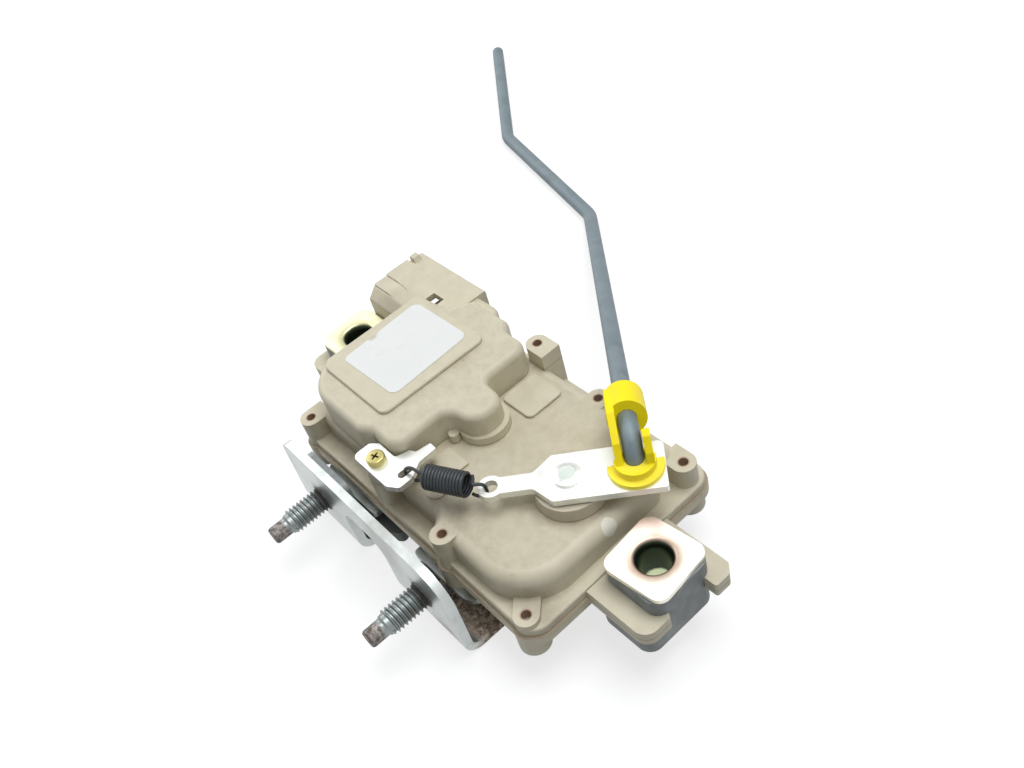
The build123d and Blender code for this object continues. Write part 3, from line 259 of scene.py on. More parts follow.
# %% Helpers that shape a piece
def pick(piece, kind, wanted):
    """Edit mode, with only the faces or edges selected that pass the test."""
    select_only(piece)
    bpy.ops.object.mode_set(mode="EDIT")
    bpy.ops.mesh.select_mode(type=kind)
    bpy.ops.mesh.select_all(action="DESELECT")
    shape = bmesh.from_edit_mesh(piece.data)
    for item in shape.faces if kind == "FACE" else shape.edges:
        if wanted(item):
            item.select_set(True)
    bmesh.update_edit_mesh(piece.data)


def facing_up(face):
    return face.normal.z > 0.9


def facing_down(face):
    return face.normal.z < -0.9


def step_out(distance, scale=1.0):
    """Extrudes the selected faces along Z, then scales them about their middle."""
    bpy.ops.mesh.extrude_region_move(TRANSFORM_OT_translate={"value": (0.0, 0.0, distance)})
    if scale != 1.0:
        bpy.ops.transform.resize(value=(scale, scale, scale))


def use_modifier(piece, kind, **settings):
    """Adds a modifier, sets it and applies it."""
    select_only(piece)
    modifier = piece.modifiers.new(kind.lower(), kind)
    for name, value in settings.items():
        setattr(modifier, name, value)
    bpy.ops.object.modifier_apply(modifier=modifier.name)


def combine(piece, operation, tool):
    """Adds the tool to the piece or cuts it away, and removes the tool."""
    use_modifier(piece, "BOOLEAN", operation=operation, object=tool, solver="EXACT")
    bpy.data.objects.remove(tool)


print("helpers that shape ready")

# %% Helpers that finish a piece
def settle(piece, placing=None, smooth=35.0):
    """Places the mesh, merges doubles, turns normals outwards and shades by angle."""
    put(piece, placing)
    bpy.ops.object.mode_set(mode="EDIT")
    bpy.ops.mesh.select_all(action="SELECT")
    bpy.ops.mesh.remove_doubles(threshold=0.002 * MM)
    bpy.ops.mesh.normals_make_consistent(inside=False)
    bpy.ops.object.mode_set(mode="OBJECT")
    bpy.ops.object.shade_smooth_by_angle(angle=math.radians(smooth))


def close_ends(piece):
    """Caps every open loop."""
    select_only(piece)
    bpy.ops.object.mode_set(mode="EDIT")
    bpy.ops.mesh.select_all(action="SELECT")
    bpy.ops.mesh.fill_holes(sides=0)
    bpy.ops.object.mode_set(mode="OBJECT")


def duplicate(piece):
    """A copy of a piece with its own mesh."""
    select_only(piece)
    bpy.ops.object.duplicate()
    return bpy.context.active_object


def join_all(pieces, name):
    """One object from several."""
    bpy.ops.object.select_all(action="DESELECT")
    for piece in pieces:
        piece.select_set(True)
    bpy.context.view_layer.objects.active = pieces[0]
    bpy.ops.object.join()
    pieces[0].name = name
    return pieces[0]


print("helpers that finish ready")

# %% [markdown]
# Each mounting stud is an M6 stud with a dog point, a shoulder that is pressed into the flange,
# and a head behind it. The stem could be spun from an outline, but a cylinder does as well: its
# ends are extruded and scaled step by step, as a lathe would leave them, with a neck, the dog
# point, its chamfer and a shallow dimple.

# %% Stem and shoulder of a stud
STUD_PLACES = ((-74.0, 5.0), (-35.3, 5.0))
FLANGE_FRONT = -33.5
CORE = 2.40 * MM
STEM_LOW, STEM_HIGH = -2.0 * MM, 9.6 * MM
FOOT_RADIUS = 3.28 * MM


def stud_core():
    """The stud without its thread, along +Z from the flange's front face."""
    core = add_round("stud_core", CORE, STEM_LOW, STEM_HIGH, sides=64)
    pick(core, "FACE", facing_up)
    step_out(0.5 * MM, 0.86)  # neck
    step_out(3.6 * MM)  # dog point
    step_out(0.45 * MM, 0.86)  # its chamfer
    bpy.ops.mesh.inset(thickness=0.5 * MM)
    bpy.ops.transform.translate(value=(0.0, 0.0, -0.12 * MM))  # dimple
    bpy.ops.object.mode_set(mode="OBJECT")
    pick(core, "FACE", facing_down)
    step_out(-0.01 * MM, 1.72)  # underside of the head
    step_out(-0.9 * MM)
    step_out(-0.27 * MM, 0.9)  # its rounded edge
    bpy.ops.object.mode_set(mode="OBJECT")
    return core


def stud_foot():
    """The shoulder that is pressed into the flange."""
    foot = add_round("stud_foot", FOOT_RADIUS, -1.9 * MM, 0.12 * MM)
    pick(foot, "FACE", facing_up)
    step_out(0.22 * MM, 0.86)
    bpy.ops.object.mode_set(mode="OBJECT")
    return foot


print("core radius", CORE, "foot radius", FOOT_RADIUS)

# %% [markdown]
# The thread shows plainly in the photograph, so a bump in the material would not do. A thread is
# one profile carried round and along an axis, and the Screw modifier does just that: a
# four-cornered ridge, one pitch of 1 mm for each turn. At both ends the ridge shrinks into the
# core, as a rolled thread runs out.

# %% The rolled thread
PITCH = 1.0 * MM
THREAD_TURNS = 9
THREAD_START = 0.1 * MM
RIDGE_CORNERS = ((2.30, -0.42), (2.30, 0.42), (2.97, -0.07), (2.97, 0.07))
RIDGE_FOOT = CORE * 0.97
RUN_OUT = 0.85 * PITCH


def thread_ridge(turns, start):
    """A trapezoid profile carried round the Z axis by the Screw modifier."""
    bpy.ops.object.select_all(action="DESELECT")
    bpy.ops.mesh.primitive_plane_add(size=1.0 * MM, location=(2.7 * MM, 0.0, start))
    ridge = bpy.context.active_object
    ridge.name = "stud_ridge"
    put(ridge)
    bpy.ops.object.mode_set(mode="EDIT")
    bpy.ops.mesh.delete(type="ONLY_FACE")
    bpy.ops.object.mode_set(mode="OBJECT")
    order = sorted(ridge.data.vertices, key=lambda v: (v.co.x, v.co.y))
    for vertex, (across, along) in zip(order, RIDGE_CORNERS):
        vertex.co = Vector((across * MM, 0.0, start + along * MM))
    use_modifier(
        ridge, "SCREW", angle=math.radians(360.0), screw_offset=PITCH, iterations=turns,
        steps=36, render_steps=36, axis="Z", use_normal_calculate=True,
    )
    low = min(v.co.z for v in ridge.data.vertices)
    high = max(v.co.z for v in ridge.data.vertices)
    for vertex in ridge.data.vertices:
        near_end = min(vertex.co.z - low, high - vertex.co.z)
        radius = math.hypot(vertex.co.x, vertex.co.y)
        kept = RIDGE_FOOT + (radius - RIDGE_FOOT) * min(1.0, near_end / RUN_OUT)
        vertex.co.x *= kept / radius
        vertex.co.y *= kept / radius
    return ridge


print("pitch", PITCH, "turns", THREAD_TURNS)

# %% [markdown]
# Both studs are alike, so one is made along the Z axis, where its shape is easy to give, and
# copied with its own mesh. Each is then turned to point to the front and moved into its hole.

# %% Both studs in the flange
stud_parts = [stud_core(), stud_foot(), thread_ridge(THREAD_TURNS, THREAD_START)]
close_ends(stud_parts[2])
for part in stud_parts:
    settle(part, smooth=30.0)
stud = join_all(stud_parts, "stud")
studs = [stud, duplicate(stud)]
stud_turn = Matrix.Rotation(math.radians(90.0), 4, "X")
for piece, (x, z) in zip(studs, STUD_PLACES):
    put(piece, Matrix.Translation((x * MM, FLANGE_FRONT * MM, z * MM)) @ stud_turn)
studs = join_all(studs, "threaded_studs")
print("stud faces", len(studs.data.polygons), "mm", [round(1000 * v, 1) for v in studs.dimensions])
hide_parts("mount_studs")
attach(studs, "base")

# %% [markdown]
# The return spring is close-wound: thirteen turns of black wire with a hook at each end, one
# through the anchor plate's slot and one through the ring of the lever. Turns are the Screw
# modifier again, this time with a round section of wire.

# %% Coils of the return spring
SPRING_NEAR = Vector((-44.2, -19.4, 23.0)) * MM
SPRING_FAR = Vector((-35.1, -14.9, 23.0)) * MM
SPRING_TURNS = 13
WIRE = 0.37 * MM
COIL_RADIUS = 2.38 * MM
spring_along = (SPRING_FAR - SPRING_NEAR).normalized()
spring_span = (SPRING_FAR - SPRING_NEAR).length
bpy.ops.object.select_all(action="DESELECT")
bpy.ops.mesh.primitive_circle_add(
    vertices=12, radius=WIRE, location=(COIL_RADIUS, 0.0, WIRE),
    rotation=(math.radians(90.0), 0.0, 0.0),
)
coil = bpy.context.active_object
put(coil)
use_modifier(
    coil, "SCREW", angle=math.radians(360.0), iterations=SPRING_TURNS, steps=32, render_steps=32,
    screw_offset=(spring_span - 2 * WIRE) / SPRING_TURNS, axis="Z",
)
close_ends(coil)
spring_turn = spring_along.to_track_quat("Z", "Y").to_matrix().to_4x4()
settle(coil, Matrix.Translation(SPRING_NEAR) @ spring_turn, smooth=50.0)
coil_start = SPRING_NEAR + (spring_turn @ Vector((COIL_RADIUS, 0.0, WIRE)))
coil_end = SPRING_NEAR + (spring_turn @ Vector((COIL_RADIUS, 0.0, spring_span - WIRE)))
for name, place in (("starts", coil_start), ("ends", coil_end)):
    print("coil", name, [round(1000 * v, 2) for v in place])

# %% [markdown]
# A hook leaves its coil, runs to the middle of the spring's end and bends round what it holds.
# It could be extruded ring by ring, but a curve is easier: its bevel keeps the wire round
# however it bends. The places below are a short way along the spring and a height in
# millimetres, from the slot of the anchor plate or from the ring of the lever.

# %% Hooks of the return spring
def wire_hook(name, points):
    """Round wire along a smooth curve through the given places."""
    bpy.ops.object.select_all(action="DESELECT")
    bpy.ops.curve.primitive_nurbs_path_add()
    hook = bpy.context.active_object
    hook.name = name
    spline = hook.data.splines[0]
    spline.points.add(len(points) - len(spline.points))
    for point, place in zip(spline.points, points):
        point.co = (*place, 1.0)
    spline.order_u = 3
    spline.use_endpoint_u = True
    spline.resolution_u = 8
    hook.data.bevel_depth = WIRE
    hook.data.bevel_resolution = 3
    hook.data.use_fill_caps = True
    bpy.ops.object.convert(target="MESH")
    settle(hook, smooth=50.0)
    return hook


UP = Vector((0.0, 0.0, 1.0))
slot_place = Vector((-49.85, -21.0, 0.0)) * MM
ring_place = Vector((-32.63, -11.77, 0.0)) * MM
to_ring = (ring_place - Vector((SPRING_FAR.x, SPRING_FAR.y, 0.0))).normalized()
near_hook = wire_hook("near_hook", [
    coil_start,
    coil_start.lerp(SPRING_NEAR, 0.45) - 0.35 * MM * spring_along,
    SPRING_NEAR - 0.9 * MM * spring_along + 0.5 * MM * UP,
] + [
    slot_place + height * MM * UP + along * MM * spring_along for height, along in (
        (23.6, 2.2), (23.0, 0.7), (21.9, 0.0), (19.9, 0.1), (19.1, 1.1), (19.4, 2.9), (20.4, 3.5),
    )
])
far_hook = wire_hook("far_hook", [
    coil_end,
    coil_end.lerp(SPRING_FAR, 0.45) + 0.35 * MM * spring_along,
    SPRING_FAR + 0.5 * MM * spring_along + 0.3 * MM * UP,
] + [
    ring_place + height * MM * UP - short * MM * to_ring for height, short in (
        (22.9, 2.3), (22.5, 1.3), (21.6, 0.95), (19.6, 0.95), (18.9, 1.7), (19.2, 3.3), (20.2, 3.9),
    )
])
spring = join_all([coil, near_hook, far_hook], "tension_spring")
print("spring faces", len(spring.data.polygons))
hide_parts("return_spring")
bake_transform(spring)

# %% [markdown]
# The anchor plate's screw is a pan head with a cross recess. The head is a cylinder with a
# bevelled crown, and its shank is extruded from its underside. The recess is cut with a Boolean
# modifier by two crossed blades that narrow downwards, the way the driver's tip does.

# %% Pan head screw
SCREW_PLACE = Vector((-57.5, -23.1, 21.5)) * MM
SCREW_TURN = math.radians(20.0)
HEAD_RADIUS, HEAD_HEIGHT = 2.08 * MM, 1.4 * MM
SHANK_LENGTH = 7.6 * MM
RECESS_MIDDLE, RECESS_LENGTHS = (0.0, 0.0, 1.2), (2.5, 0.58, 1.4)
head = add_round("anchor_pan_screw", HEAD_RADIUS, 0.0, HEAD_HEIGHT, sides=64)
pick(head, "FACE", facing_up)
bpy.ops.mesh.bevel(offset=0.4 * MM, segments=4, affect="EDGES")
bpy.ops.object.mode_set(mode="OBJECT")
pick(head, "FACE", facing_down)
bpy.ops.mesh.inset(thickness=0.62 * MM)
step_out(-SHANK_LENGTH)
step_out(-0.5 * MM, 0.7)
bpy.ops.object.mode_set(mode="OBJECT")
blade = add_box("blade", RECESS_MIDDLE, RECESS_LENGTHS)
pick(blade, "FACE", facing_down)
bpy.ops.transform.resize(value=(0.45, 0.55, 1.0))
bpy.ops.object.mode_set(mode="OBJECT")
settle(blade)
second_blade = duplicate(blade)
put(second_blade, Matrix.Rotation(math.radians(90.0), 4, "Z"))
combine(blade, "UNION", second_blade)
settle(head)
combine(head, "DIFFERENCE", blade)
settle(head, Matrix.Translation(SCREW_PLACE) @ Matrix.Rotation(SCREW_TURN, 4, "Z"), smooth=40.0)
print("screw faces", len(head.data.polygons))
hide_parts("anchor_screw")
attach(head, "base")

# %% [markdown]
# A real moulding is closed all round. In the solids, the hollow under the motor hump cuts a
# tenth of a millimetre through the hump's front wall behind the anchor plate, which would show
# as a thin black slit. A thin plate inside the wall, in the same plastic, closes it for the eye.

# %% Wall lining
lining = add_box("wall_lining", (-61.8, -19.13, 19.65), (10.1, 0.9, 6.4))
use_modifier(lining, "BEVEL", width=0.3 * MM, segments=3, limit_method="ANGLE")
settle(lining)
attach(lining, "base")
print("lining", [round(1000 * v, 1) for v in lining.dimensions])

# %% [markdown]
# Each mounting collar is a plated steel tube whose square head is drawn down into a rounded
# mouth. The square head is a box with bevelled upright edges. The mouth is cut by a cylinder
# that widens in rings along a quarter circle, so that light runs smoothly down into the bore.

# %% Head and mouth of a mounting collar
COLLAR_HEAD_MIDDLE, COLLAR_HEAD_LENGTHS = (0.0, 0.0, 14.35), (15.0, 15.0, 1.3)
COLLAR_CORNER = 2.6 * MM
BORE = 3.3 * MM
TUBE_RADIUS, TUBE_TOP = 4.2 * MM, 13.9 * MM
MOUTH_FOOT = 12.8 * MM
MOUTH_HEIGHT = 2.2 * MM + 0.005 * MM
MOUTH_LIP = 1.5 * MM
MOUTH_RINGS = 7


def upright(edge):
    return abs(edge.verts[0].co.z - edge.verts[1].co.z) > 1.0 * MM


def collar_head(turned):
    """The square head with rounded corners, turned as it sits in its grommet."""
    plate = add_box("collar_head", COLLAR_HEAD_MIDDLE, COLLAR_HEAD_LENGTHS)
    pick(plate, "EDGE", upright)
    bpy.ops.mesh.bevel(offset=COLLAR_CORNER, segments=10, affect="EDGES")
    bpy.ops.object.mode_set(mode="OBJECT")
    settle(plate, Matrix.Rotation(math.radians(turned), 4, "Z"))
    use_modifier(
        plate, "BEVEL", width=0.16 * MM, segments=3, limit_method="ANGLE",
        angle_limit=math.radians(60.0),
    )
    return plate


def mouth_cutter():
    """The bore, which widens along a quarter circle to the top of the head."""
    cutter = add_round("mouth", BORE, -1.0 * MM, MOUTH_FOOT, sides=96)
    pick(cutter, "FACE", facing_up)
    radius, height = BORE, MOUTH_FOOT
    for ring in range(1, MOUTH_RINGS + 1):
        angle = math.radians(90.0 * ring / MOUTH_RINGS)
        new_radius = BORE + MOUTH_LIP * (1 - math.cos(angle)) * 0.86
        new_height = MOUTH_FOOT + MOUTH_HEIGHT * math.sin(angle)
        step_out(new_height - height, new_radius / radius)
        radius, height = new_radius, new_height
    step_out(1.0 * MM)
    bpy.ops.object.mode_set(mode="OBJECT")
    settle(cutter)
    return cutter


print("bore", BORE, "mouth in", MOUTH_RINGS, "rings")

# %% [markdown]
# The two collars differ only in how far their heads are turned in their grommets, so one helper
# makes both. The tube is joined to the head first, and the mouth is cut through both at once.

# %% Both mounting collars
def collar_piece(name, centre_x, turned):
    """Square head with a drawn mouth, on a plain tube."""
    plate = collar_head(turned)
    combine(plate, "UNION", add_round("tube", TUBE_RADIUS, 0.0, TUBE_TOP, sides=96))
    combine(plate, "DIFFERENCE", mouth_cutter())
    settle(plate, Matrix.Translation((centre_x * MM, 0.0, 0.0)), smooth=28.0)
    plate.name = name
    return plate


collars = []
for name, node, centre_x, turned in (
    ("right_collar_piece", "collar_right", 0.0, 5.4),
    ("left_collar_piece", "collar_left", -102.0, 0.0),
):
    collar_made = collar_piece(name, centre_x, turned)
    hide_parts(node)
    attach(collar_made, "base")
    collars.append(collar_made)
    print(name, len(collar_made.data.polygons), "faces")

# %% [markdown]
# Several finishes share the same effects, so each effect is one node group, built once. The
# first is the fine grain that every moulded, plated or rolled surface has. It could be an image,
# but noise in the object's own coordinates has no seams and no scale to set twice. It gives a
# height for the bump and a mottle mask for the colour.

# %% Shared effect: grain
FLOAT, VECTOR = "NodeSocketFloat", "NodeSocketVector"


def new_group(name, inputs, outputs):
    """A node group with its named sockets, its input node and its output node."""
    group = bpy.data.node_groups.new(name, "ShaderNodeTree")
    for socket_name, kind, value in inputs:
        socket = group.interface.new_socket(name=socket_name, in_out="INPUT", socket_type=kind)
        socket.default_value = value
    for socket_name in outputs:
        group.interface.new_socket(name=socket_name, in_out="OUTPUT", socket_type=FLOAT)
    print("group", name, [s.name for s in group.interface.items_tree])
    return group, group.nodes.new("NodeGroupInput"), group.nodes.new("NodeGroupOutput")


def noise(tree, scale, detail, roughness=0.5):
    """A noise texture in the object's own coordinates, as its output."""
    place = tree.nodes.new("ShaderNodeTexCoord")
    node = chain(tree, "ShaderNodeTexNoise", Detail=detail, Roughness=roughness)
    feed(tree, node.inputs["Vector"], place.outputs["Object"])
    feed(tree, node.inputs["Scale"], scale)
    return node.outputs["Fac"]


grain, grain_in, grain_out = new_group(
    "surface_grain", [("Size", FLOAT, 900.0)], ["Height", "Mottle"],
)
fine_size = grain_in.outputs["Size"]
mottle_size = compute(grain, "MULTIPLY", fine_size, 0.12)
feed(grain, grain_out.inputs["Height"], noise(grain, fine_size, 3.0, 0.6))
feed(grain, grain_out.inputs["Mottle"], noise(grain, mottle_size, 4.0, 0.55))

# %% [markdown]
# The second shared effect is soiling. A used part has large soft patches of dust and handling,
# and small dark specks that gather in some areas. The patches are the high parts of a noise.
# The specks are the middles of Voronoi cells, kept only where a second, wide noise is high.

# %% Shared effect: soiling
soiling, soil_in, soil_out = new_group(
    "soiling",
    [("Patch Size", FLOAT, 60.0), ("Patch Level", FLOAT, 0.55), ("Speck Size", FLOAT, 220.0)],
    ["Patches", "Specks"],
)
patch_noise = noise(soiling, soil_in.outputs["Patch Size"], 6.0, 0.62)
patch_low = soil_in.outputs["Patch Level"]
patch_high = compute(soiling, "ADD", patch_low, 0.16)
speck_cells = chain(soiling, "ShaderNodeTexVoronoi", Randomness=1.0)
speck_place = soiling.nodes.new("ShaderNodeTexCoord")
feed(soiling, speck_cells.inputs["Vector"], speck_place.outputs["Object"])
feed(soiling, speck_cells.inputs["Scale"], soil_in.outputs["Speck Size"])
speck_near = in_range(soiling, speck_cells.outputs["Distance"], 0.13, 0.06)
speck_few = in_range(soiling, noise(soiling, 90.0, 2.0), 0.60, 0.68)
feed(soiling, soil_out.inputs["Patches"], in_range(soiling, patch_noise, patch_low, patch_high))
feed(soiling, soil_out.inputs["Specks"], compute(soiling, "MULTIPLY", speck_near, speck_few))

# %% [markdown]
# Every finish then starts the same way, with three colours in turn: a base, a second that
# follows the mottle, and a third in the soiled patches, which also darkens the specks. Grain
# drives a small bump, and the mottle spreads the roughness a little to both sides.

# %% Helpers that mix, and that place a shared effect
# A Mix node keeps separate sockets for colours and for values, at these places in its lists.
FIRST_INPUT = {"RGBA": 6, "FLOAT": 2}
MIX_OUTPUT = {"RGBA": 2, "FLOAT": 0}


def mixed(tree, share, first, second, kind="RGBA"):
    """A Mix node of two colours, or of two values, as its output."""
    node = chain(tree, "ShaderNodeMix", data_type=kind)
    at = FIRST_INPUT[kind]
    for index, source in ((0, share), (at, first), (at + 1, second)):
        feed(tree, node.inputs[index], source)
    return node.outputs[MIX_OUTPUT[kind]]


def shared(tree, group, **settings):
    """One shared effect in a material, with its own values."""
    node = tree.nodes.new("ShaderNodeGroup")
    node.node_tree = group
    for name, value in settings.items():
        node.inputs[name.replace("_", " ")].default_value = value
    return node


print("mixing helpers ready")

# %% A finish from the two shared effects
ROUGH_SPREAD = 0.1
GRAIN_HEIGHT = 0.2 * MM
SPECK_SHADE = 0.35


def finish_of(name, base, second, soiled, rough, metal=0.0, grain_size=1500.0, bump=0.1,
              mottle=0.6, patches=0.5, patch_size=60.0, patch_level=0.55, specks=0.0):
    """A Principled material with grain, mottle and soiling."""
    material = bpy.data.materials.new(name)
    material.use_nodes = True
    tree = material.node_tree
    shader = tree.nodes["Principled BSDF"]
    shader.inputs["Metallic"].default_value = metal
    grains = shared(tree, grain, Size=grain_size).outputs
    soils = shared(tree, soiling, Patch_Size=patch_size, Patch_Level=patch_level).outputs
    mottling = in_range(tree, grains["Mottle"], 0.3, 0.7, 0.0, mottle, smooth=False)
    colour = mixed(tree, mottling, (*base, 1.0), (*second, 1.0))
    for mask, strength, shade in (("Patches", patches, 1.0), ("Specks", specks, SPECK_SHADE)):
        share = compute(tree, "MULTIPLY", soils[mask], strength)
        colour = mixed(tree, share, colour, (*[shade * c for c in soiled], 1.0))
    smoothest, roughest = max(0.02, rough - ROUGH_SPREAD), min(1.0, rough + ROUGH_SPREAD)
    roughness = in_range(tree, grains["Mottle"], 0.0, 1.0, smoothest, roughest, smooth=False)
    bumping = chain(tree, "ShaderNodeBump", Strength=bump, Distance=GRAIN_HEIGHT)
    feed(tree, bumping.inputs["Height"], grains["Height"])
    feed(tree, shader.inputs["Base Color"], colour)
    feed(tree, shader.inputs["Roughness"], roughness)
    feed(tree, shader.inputs["Normal"], bumping.outputs["Normal"])
    return material


print("finish helper ready, grain height", GRAIN_HEIGHT)

# %% [markdown]
# A used part is marked in places: rust where water stands, grime round a screw, a worn spot on the
# label. The third shared effect is one such place: a ball of a given radius, stretched or
# flattened, with a soft and ragged edge. A stretch of 0 along an axis leaves that axis out, so the
# ball becomes a post or a layer. The group gives a mask, and a finish mixes its stain by it; the
# same mask also places painted shade and painted reflections.

# %% Shared effect: a marked place
marked, mark_in, mark_out = new_group(
    "marked_place",
    [("Centre", VECTOR, (0.0, 0.0, 0.0)), ("Stretch", VECTOR, (1.0, 1.0, 1.0)),
     ("Radius", FLOAT, 0.003), ("Softness", FLOAT, 0.001), ("Ragged", FLOAT, 0.0)],
    ["Mask"],
)
given = mark_in.outputs
mark_place = marked.nodes.new("ShaderNodeTexCoord").outputs["Object"]
from_centre = compute_vector(marked, "SUBTRACT", mark_place, given["Centre"])
stretched = compute_vector(marked, "MULTIPLY", from_centre, given["Stretch"])
away = compute_vector(marked, "LENGTH", stretched)
wobble = compute(marked, "SUBTRACT", noise(marked, 450.0, 5.0, 0.65), 0.5)
wobbled = compute(marked, "MULTIPLY_ADD", wobble, given["Ragged"], away)
full_radius = compute(marked, "SUBTRACT", given["Radius"], given["Softness"])
feed(marked, mark_out.inputs["Mask"], in_range(marked, wobbled, given["Radius"], full_radius))

# %% Stains, crusts, painted shade and painted reflections
def mark(material, colour, centre, radius, softness, ragged=0.0, stretch=(1.0, 1.0, 1.0),
         strength=1.0, rough=None, metal=None):
    """Mixes a stain, painted shade or a painted reflection, of a plain colour or an output's, into
    a finish. Lengths in millimetres.
    """
    tree = material.node_tree
    place = shared(
        tree, marked, Centre=tuple(MM * v for v in centre), Stretch=stretch,
        Radius=radius * MM, Softness=softness * MM, Ragged=ragged * MM,
    )
    share = compute(tree, "MULTIPLY", place.outputs["Mask"], strength)
    stain_and_painted_light = colour if isinstance(colour, bpy.types.NodeSocket) else (*colour, 1.0)
    for name, value, kind in (
        ("Base Color", stain_and_painted_light, "RGBA"), ("Roughness", rough, "FLOAT"), ("Metallic", metal, "FLOAT"),
    ):
        if value is None:
            continue
        socket = tree.nodes["Principled BSDF"].inputs[name]
        before = socket.links[0].from_socket if socket.is_linked else socket.default_value
        feed(tree, socket, mixed(tree, share, before, value, kind))


def pitted_colour(material, dark, pale, scale):
    """A pitted crust of dark and pale grains, as a colour output."""
    tree = material.node_tree
    spread = in_range(tree, noise(tree, scale, 7.0, 0.75), 0.40, 0.64)
    return mixed(tree, spread, (*dark, 1.0), (*pale, 1.0))


print("stains and crusts ready")

# %% [markdown]
# The housing is tan plastic, dull and a little blotchy, with dark specks. Its marks follow the
# photograph: painted shade with some grime on the ledge behind the flange, painted shade under the
# anchor plate and on the left ear, thin dark lines along the seam and the foot of each step that
# are partly painted shade and partly grime, and rust in the screw bosses. A stain painted by hand
# would need an unwrapped image, while a marked place needs only a spot and a size.

# %% Finish of the moulded housing
tan_plastic = finish_of(
    "tan_moulding", (0.57, 0.525, 0.395), (0.64, 0.60, 0.47), (0.37, 0.305, 0.21), rough=0.50,
    grain_size=2600.0, bump=0.10, mottle=0.8, patches=0.32, patch_size=45.0, specks=0.9,
)
for colour, centre, radius, softness, ragged, stretch, strength in (
    # painted shade with some grime on the ledge behind the flange, where the flange shades it
    ((0.20, 0.165, 0.11), (-50.0, -20.5, 10.5), 13.0, 8.0, 5.0, (0.22, 1.8, 1.6), 0.6),
    # painted shade under the anchor plate
    ((0.27, 0.225, 0.155), (-57.0, -16.5, 17.0), 7.0, 5.0, 3.0, (0.6, 1.0, 1.0), 0.7),
    # round the output boss
    ((0.30, 0.25, 0.17), (-22.4, 0.0, 17.0), 11.5, 4.0, 3.0, (1.0, 1.0, 2.2), 0.35),
    # the pale round mark that an ejector pin left
    ((0.80, 0.79, 0.70), (-11.84, -0.63, 14.6), 2.1, 0.3, 1.1, (1.0, 1.0, 1.0), 0.9),
    # painted shade on the left ear, where the hump shades it
    ((0.34, 0.285, 0.20), (-95.0, 0.0, 16.0), 12.0, 7.0, 4.0, (1.0, 0.6, 0.8), 0.55),
):
    mark(tan_plastic, colour, centre, radius, softness, ragged, stretch, strength)
print("finish", tan_plastic.name)

# %% Lines of painted shade and grime, and rusty screw holes of the housing
SHADE_AND_GRIME_LINES = ((24.74, 0.17, 0.6), (16.68, 0.24, 0.6), (7.7, 0.16, 0.75))
BOSS_HOLES = (
    (-87.7, -23.9), (-56.7, 22.5), (-36.4, 21.3), (-11.1, 20.4), (-35.3, -24.2), (-11.6, -23.6),
)
ALONG_Z, ROUND_Z = (0.0, 0.0, 1.0), (1.0, 1.0, 0.0)
# each row darkens a thin layer at one height: painted shade and grime along the seam and the foot
# of each step
for z, reach, share in SHADE_AND_GRIME_LINES:
    mark(tan_plastic, (0.23, 0.17, 0.105), (0.0, 0.0, z), reach, 0.8 * reach, 0.12, ALONG_Z, share)
for x, y in BOSS_HOLES:
    mark(tan_plastic, (0.30, 0.165, 0.095), (x, y, 0.0), 1.5, 0.5, 0.4, ROUND_Z, 0.85)
print("grime lines at", [line[0] for line in SHADE_AND_GRIME_LINES], "holes", len(BOSS_HOLES))

# %% [markdown]
# The sheet steel is galvanised and the lever is bright zinc, so both are nearly all metal with
# soft highlights. The floor plate's right end is rusty in the photograph, as are the tips of the
# studs: there the metal gives way to a rough pitted crust. Smudges surround the studs.

# %% Finishes of the sheet steel
zinc_plate = finish_of(
    "bright_zinc", (0.82, 0.835, 0.805), (0.74, 0.76, 0.73), (0.52, 0.53, 0.49), rough=0.36,
    metal=0.9, grain_size=1800.0, bump=0.06, patches=0.35, patch_size=120.0,
)
mark(zinc_plate, (0.50, 0.58, 0.53), (-22.4, 0.0, 22.0), 3.0, 1.6, 3.2, strength=0.7)
galvanised = finish_of(
    "galvanised_sheet", (0.50, 0.54, 0.53), (0.66, 0.70, 0.69), (0.30, 0.31, 0.29), rough=0.38,
    metal=0.95, grain_size=1400.0, bump=0.12, patches=0.45, patch_size=90.0,
)
crust = pitted_colour(galvanised, (0.13, 0.085, 0.055), (0.66, 0.56, 0.45), 620.0)
mark(galvanised, crust, (-34.0, -20.0, -6.0), 13.6, 4.0, 6.0, (0.55, 1.0, 1.4),
     rough=0.72, metal=0.25)
for x, z in STUD_PLACES:
    mark(galvanised, (0.16, 0.13, 0.10), (x, FLANGE_FRONT, z + 0.6), 5.0, 2.2, 2.8, strength=0.6)
mark(galvanised, (0.26, 0.25, 0.22), (-46.0, FLANGE_FRONT, 12.0), 9.0, 7.0, 7.0,
     (1.0, 1.0, 0.7), 0.5)
mark(galvanised, (0.24, 0.20, 0.16), (-30.0, -32.5, -5.5), 7.0, 4.0, 5.0, strength=0.7)
oiled_steel = finish_of(
    "oiled_plate", (0.40, 0.43, 0.42), (0.50, 0.53, 0.52), (0.20, 0.18, 0.155), rough=0.42,
    metal=0.9, grain_size=1400.0, bump=0.12, patches=0.5, patch_size=90.0,
)
print("finishes", zinc_plate.name, galvanised.name, oiled_steel.name)

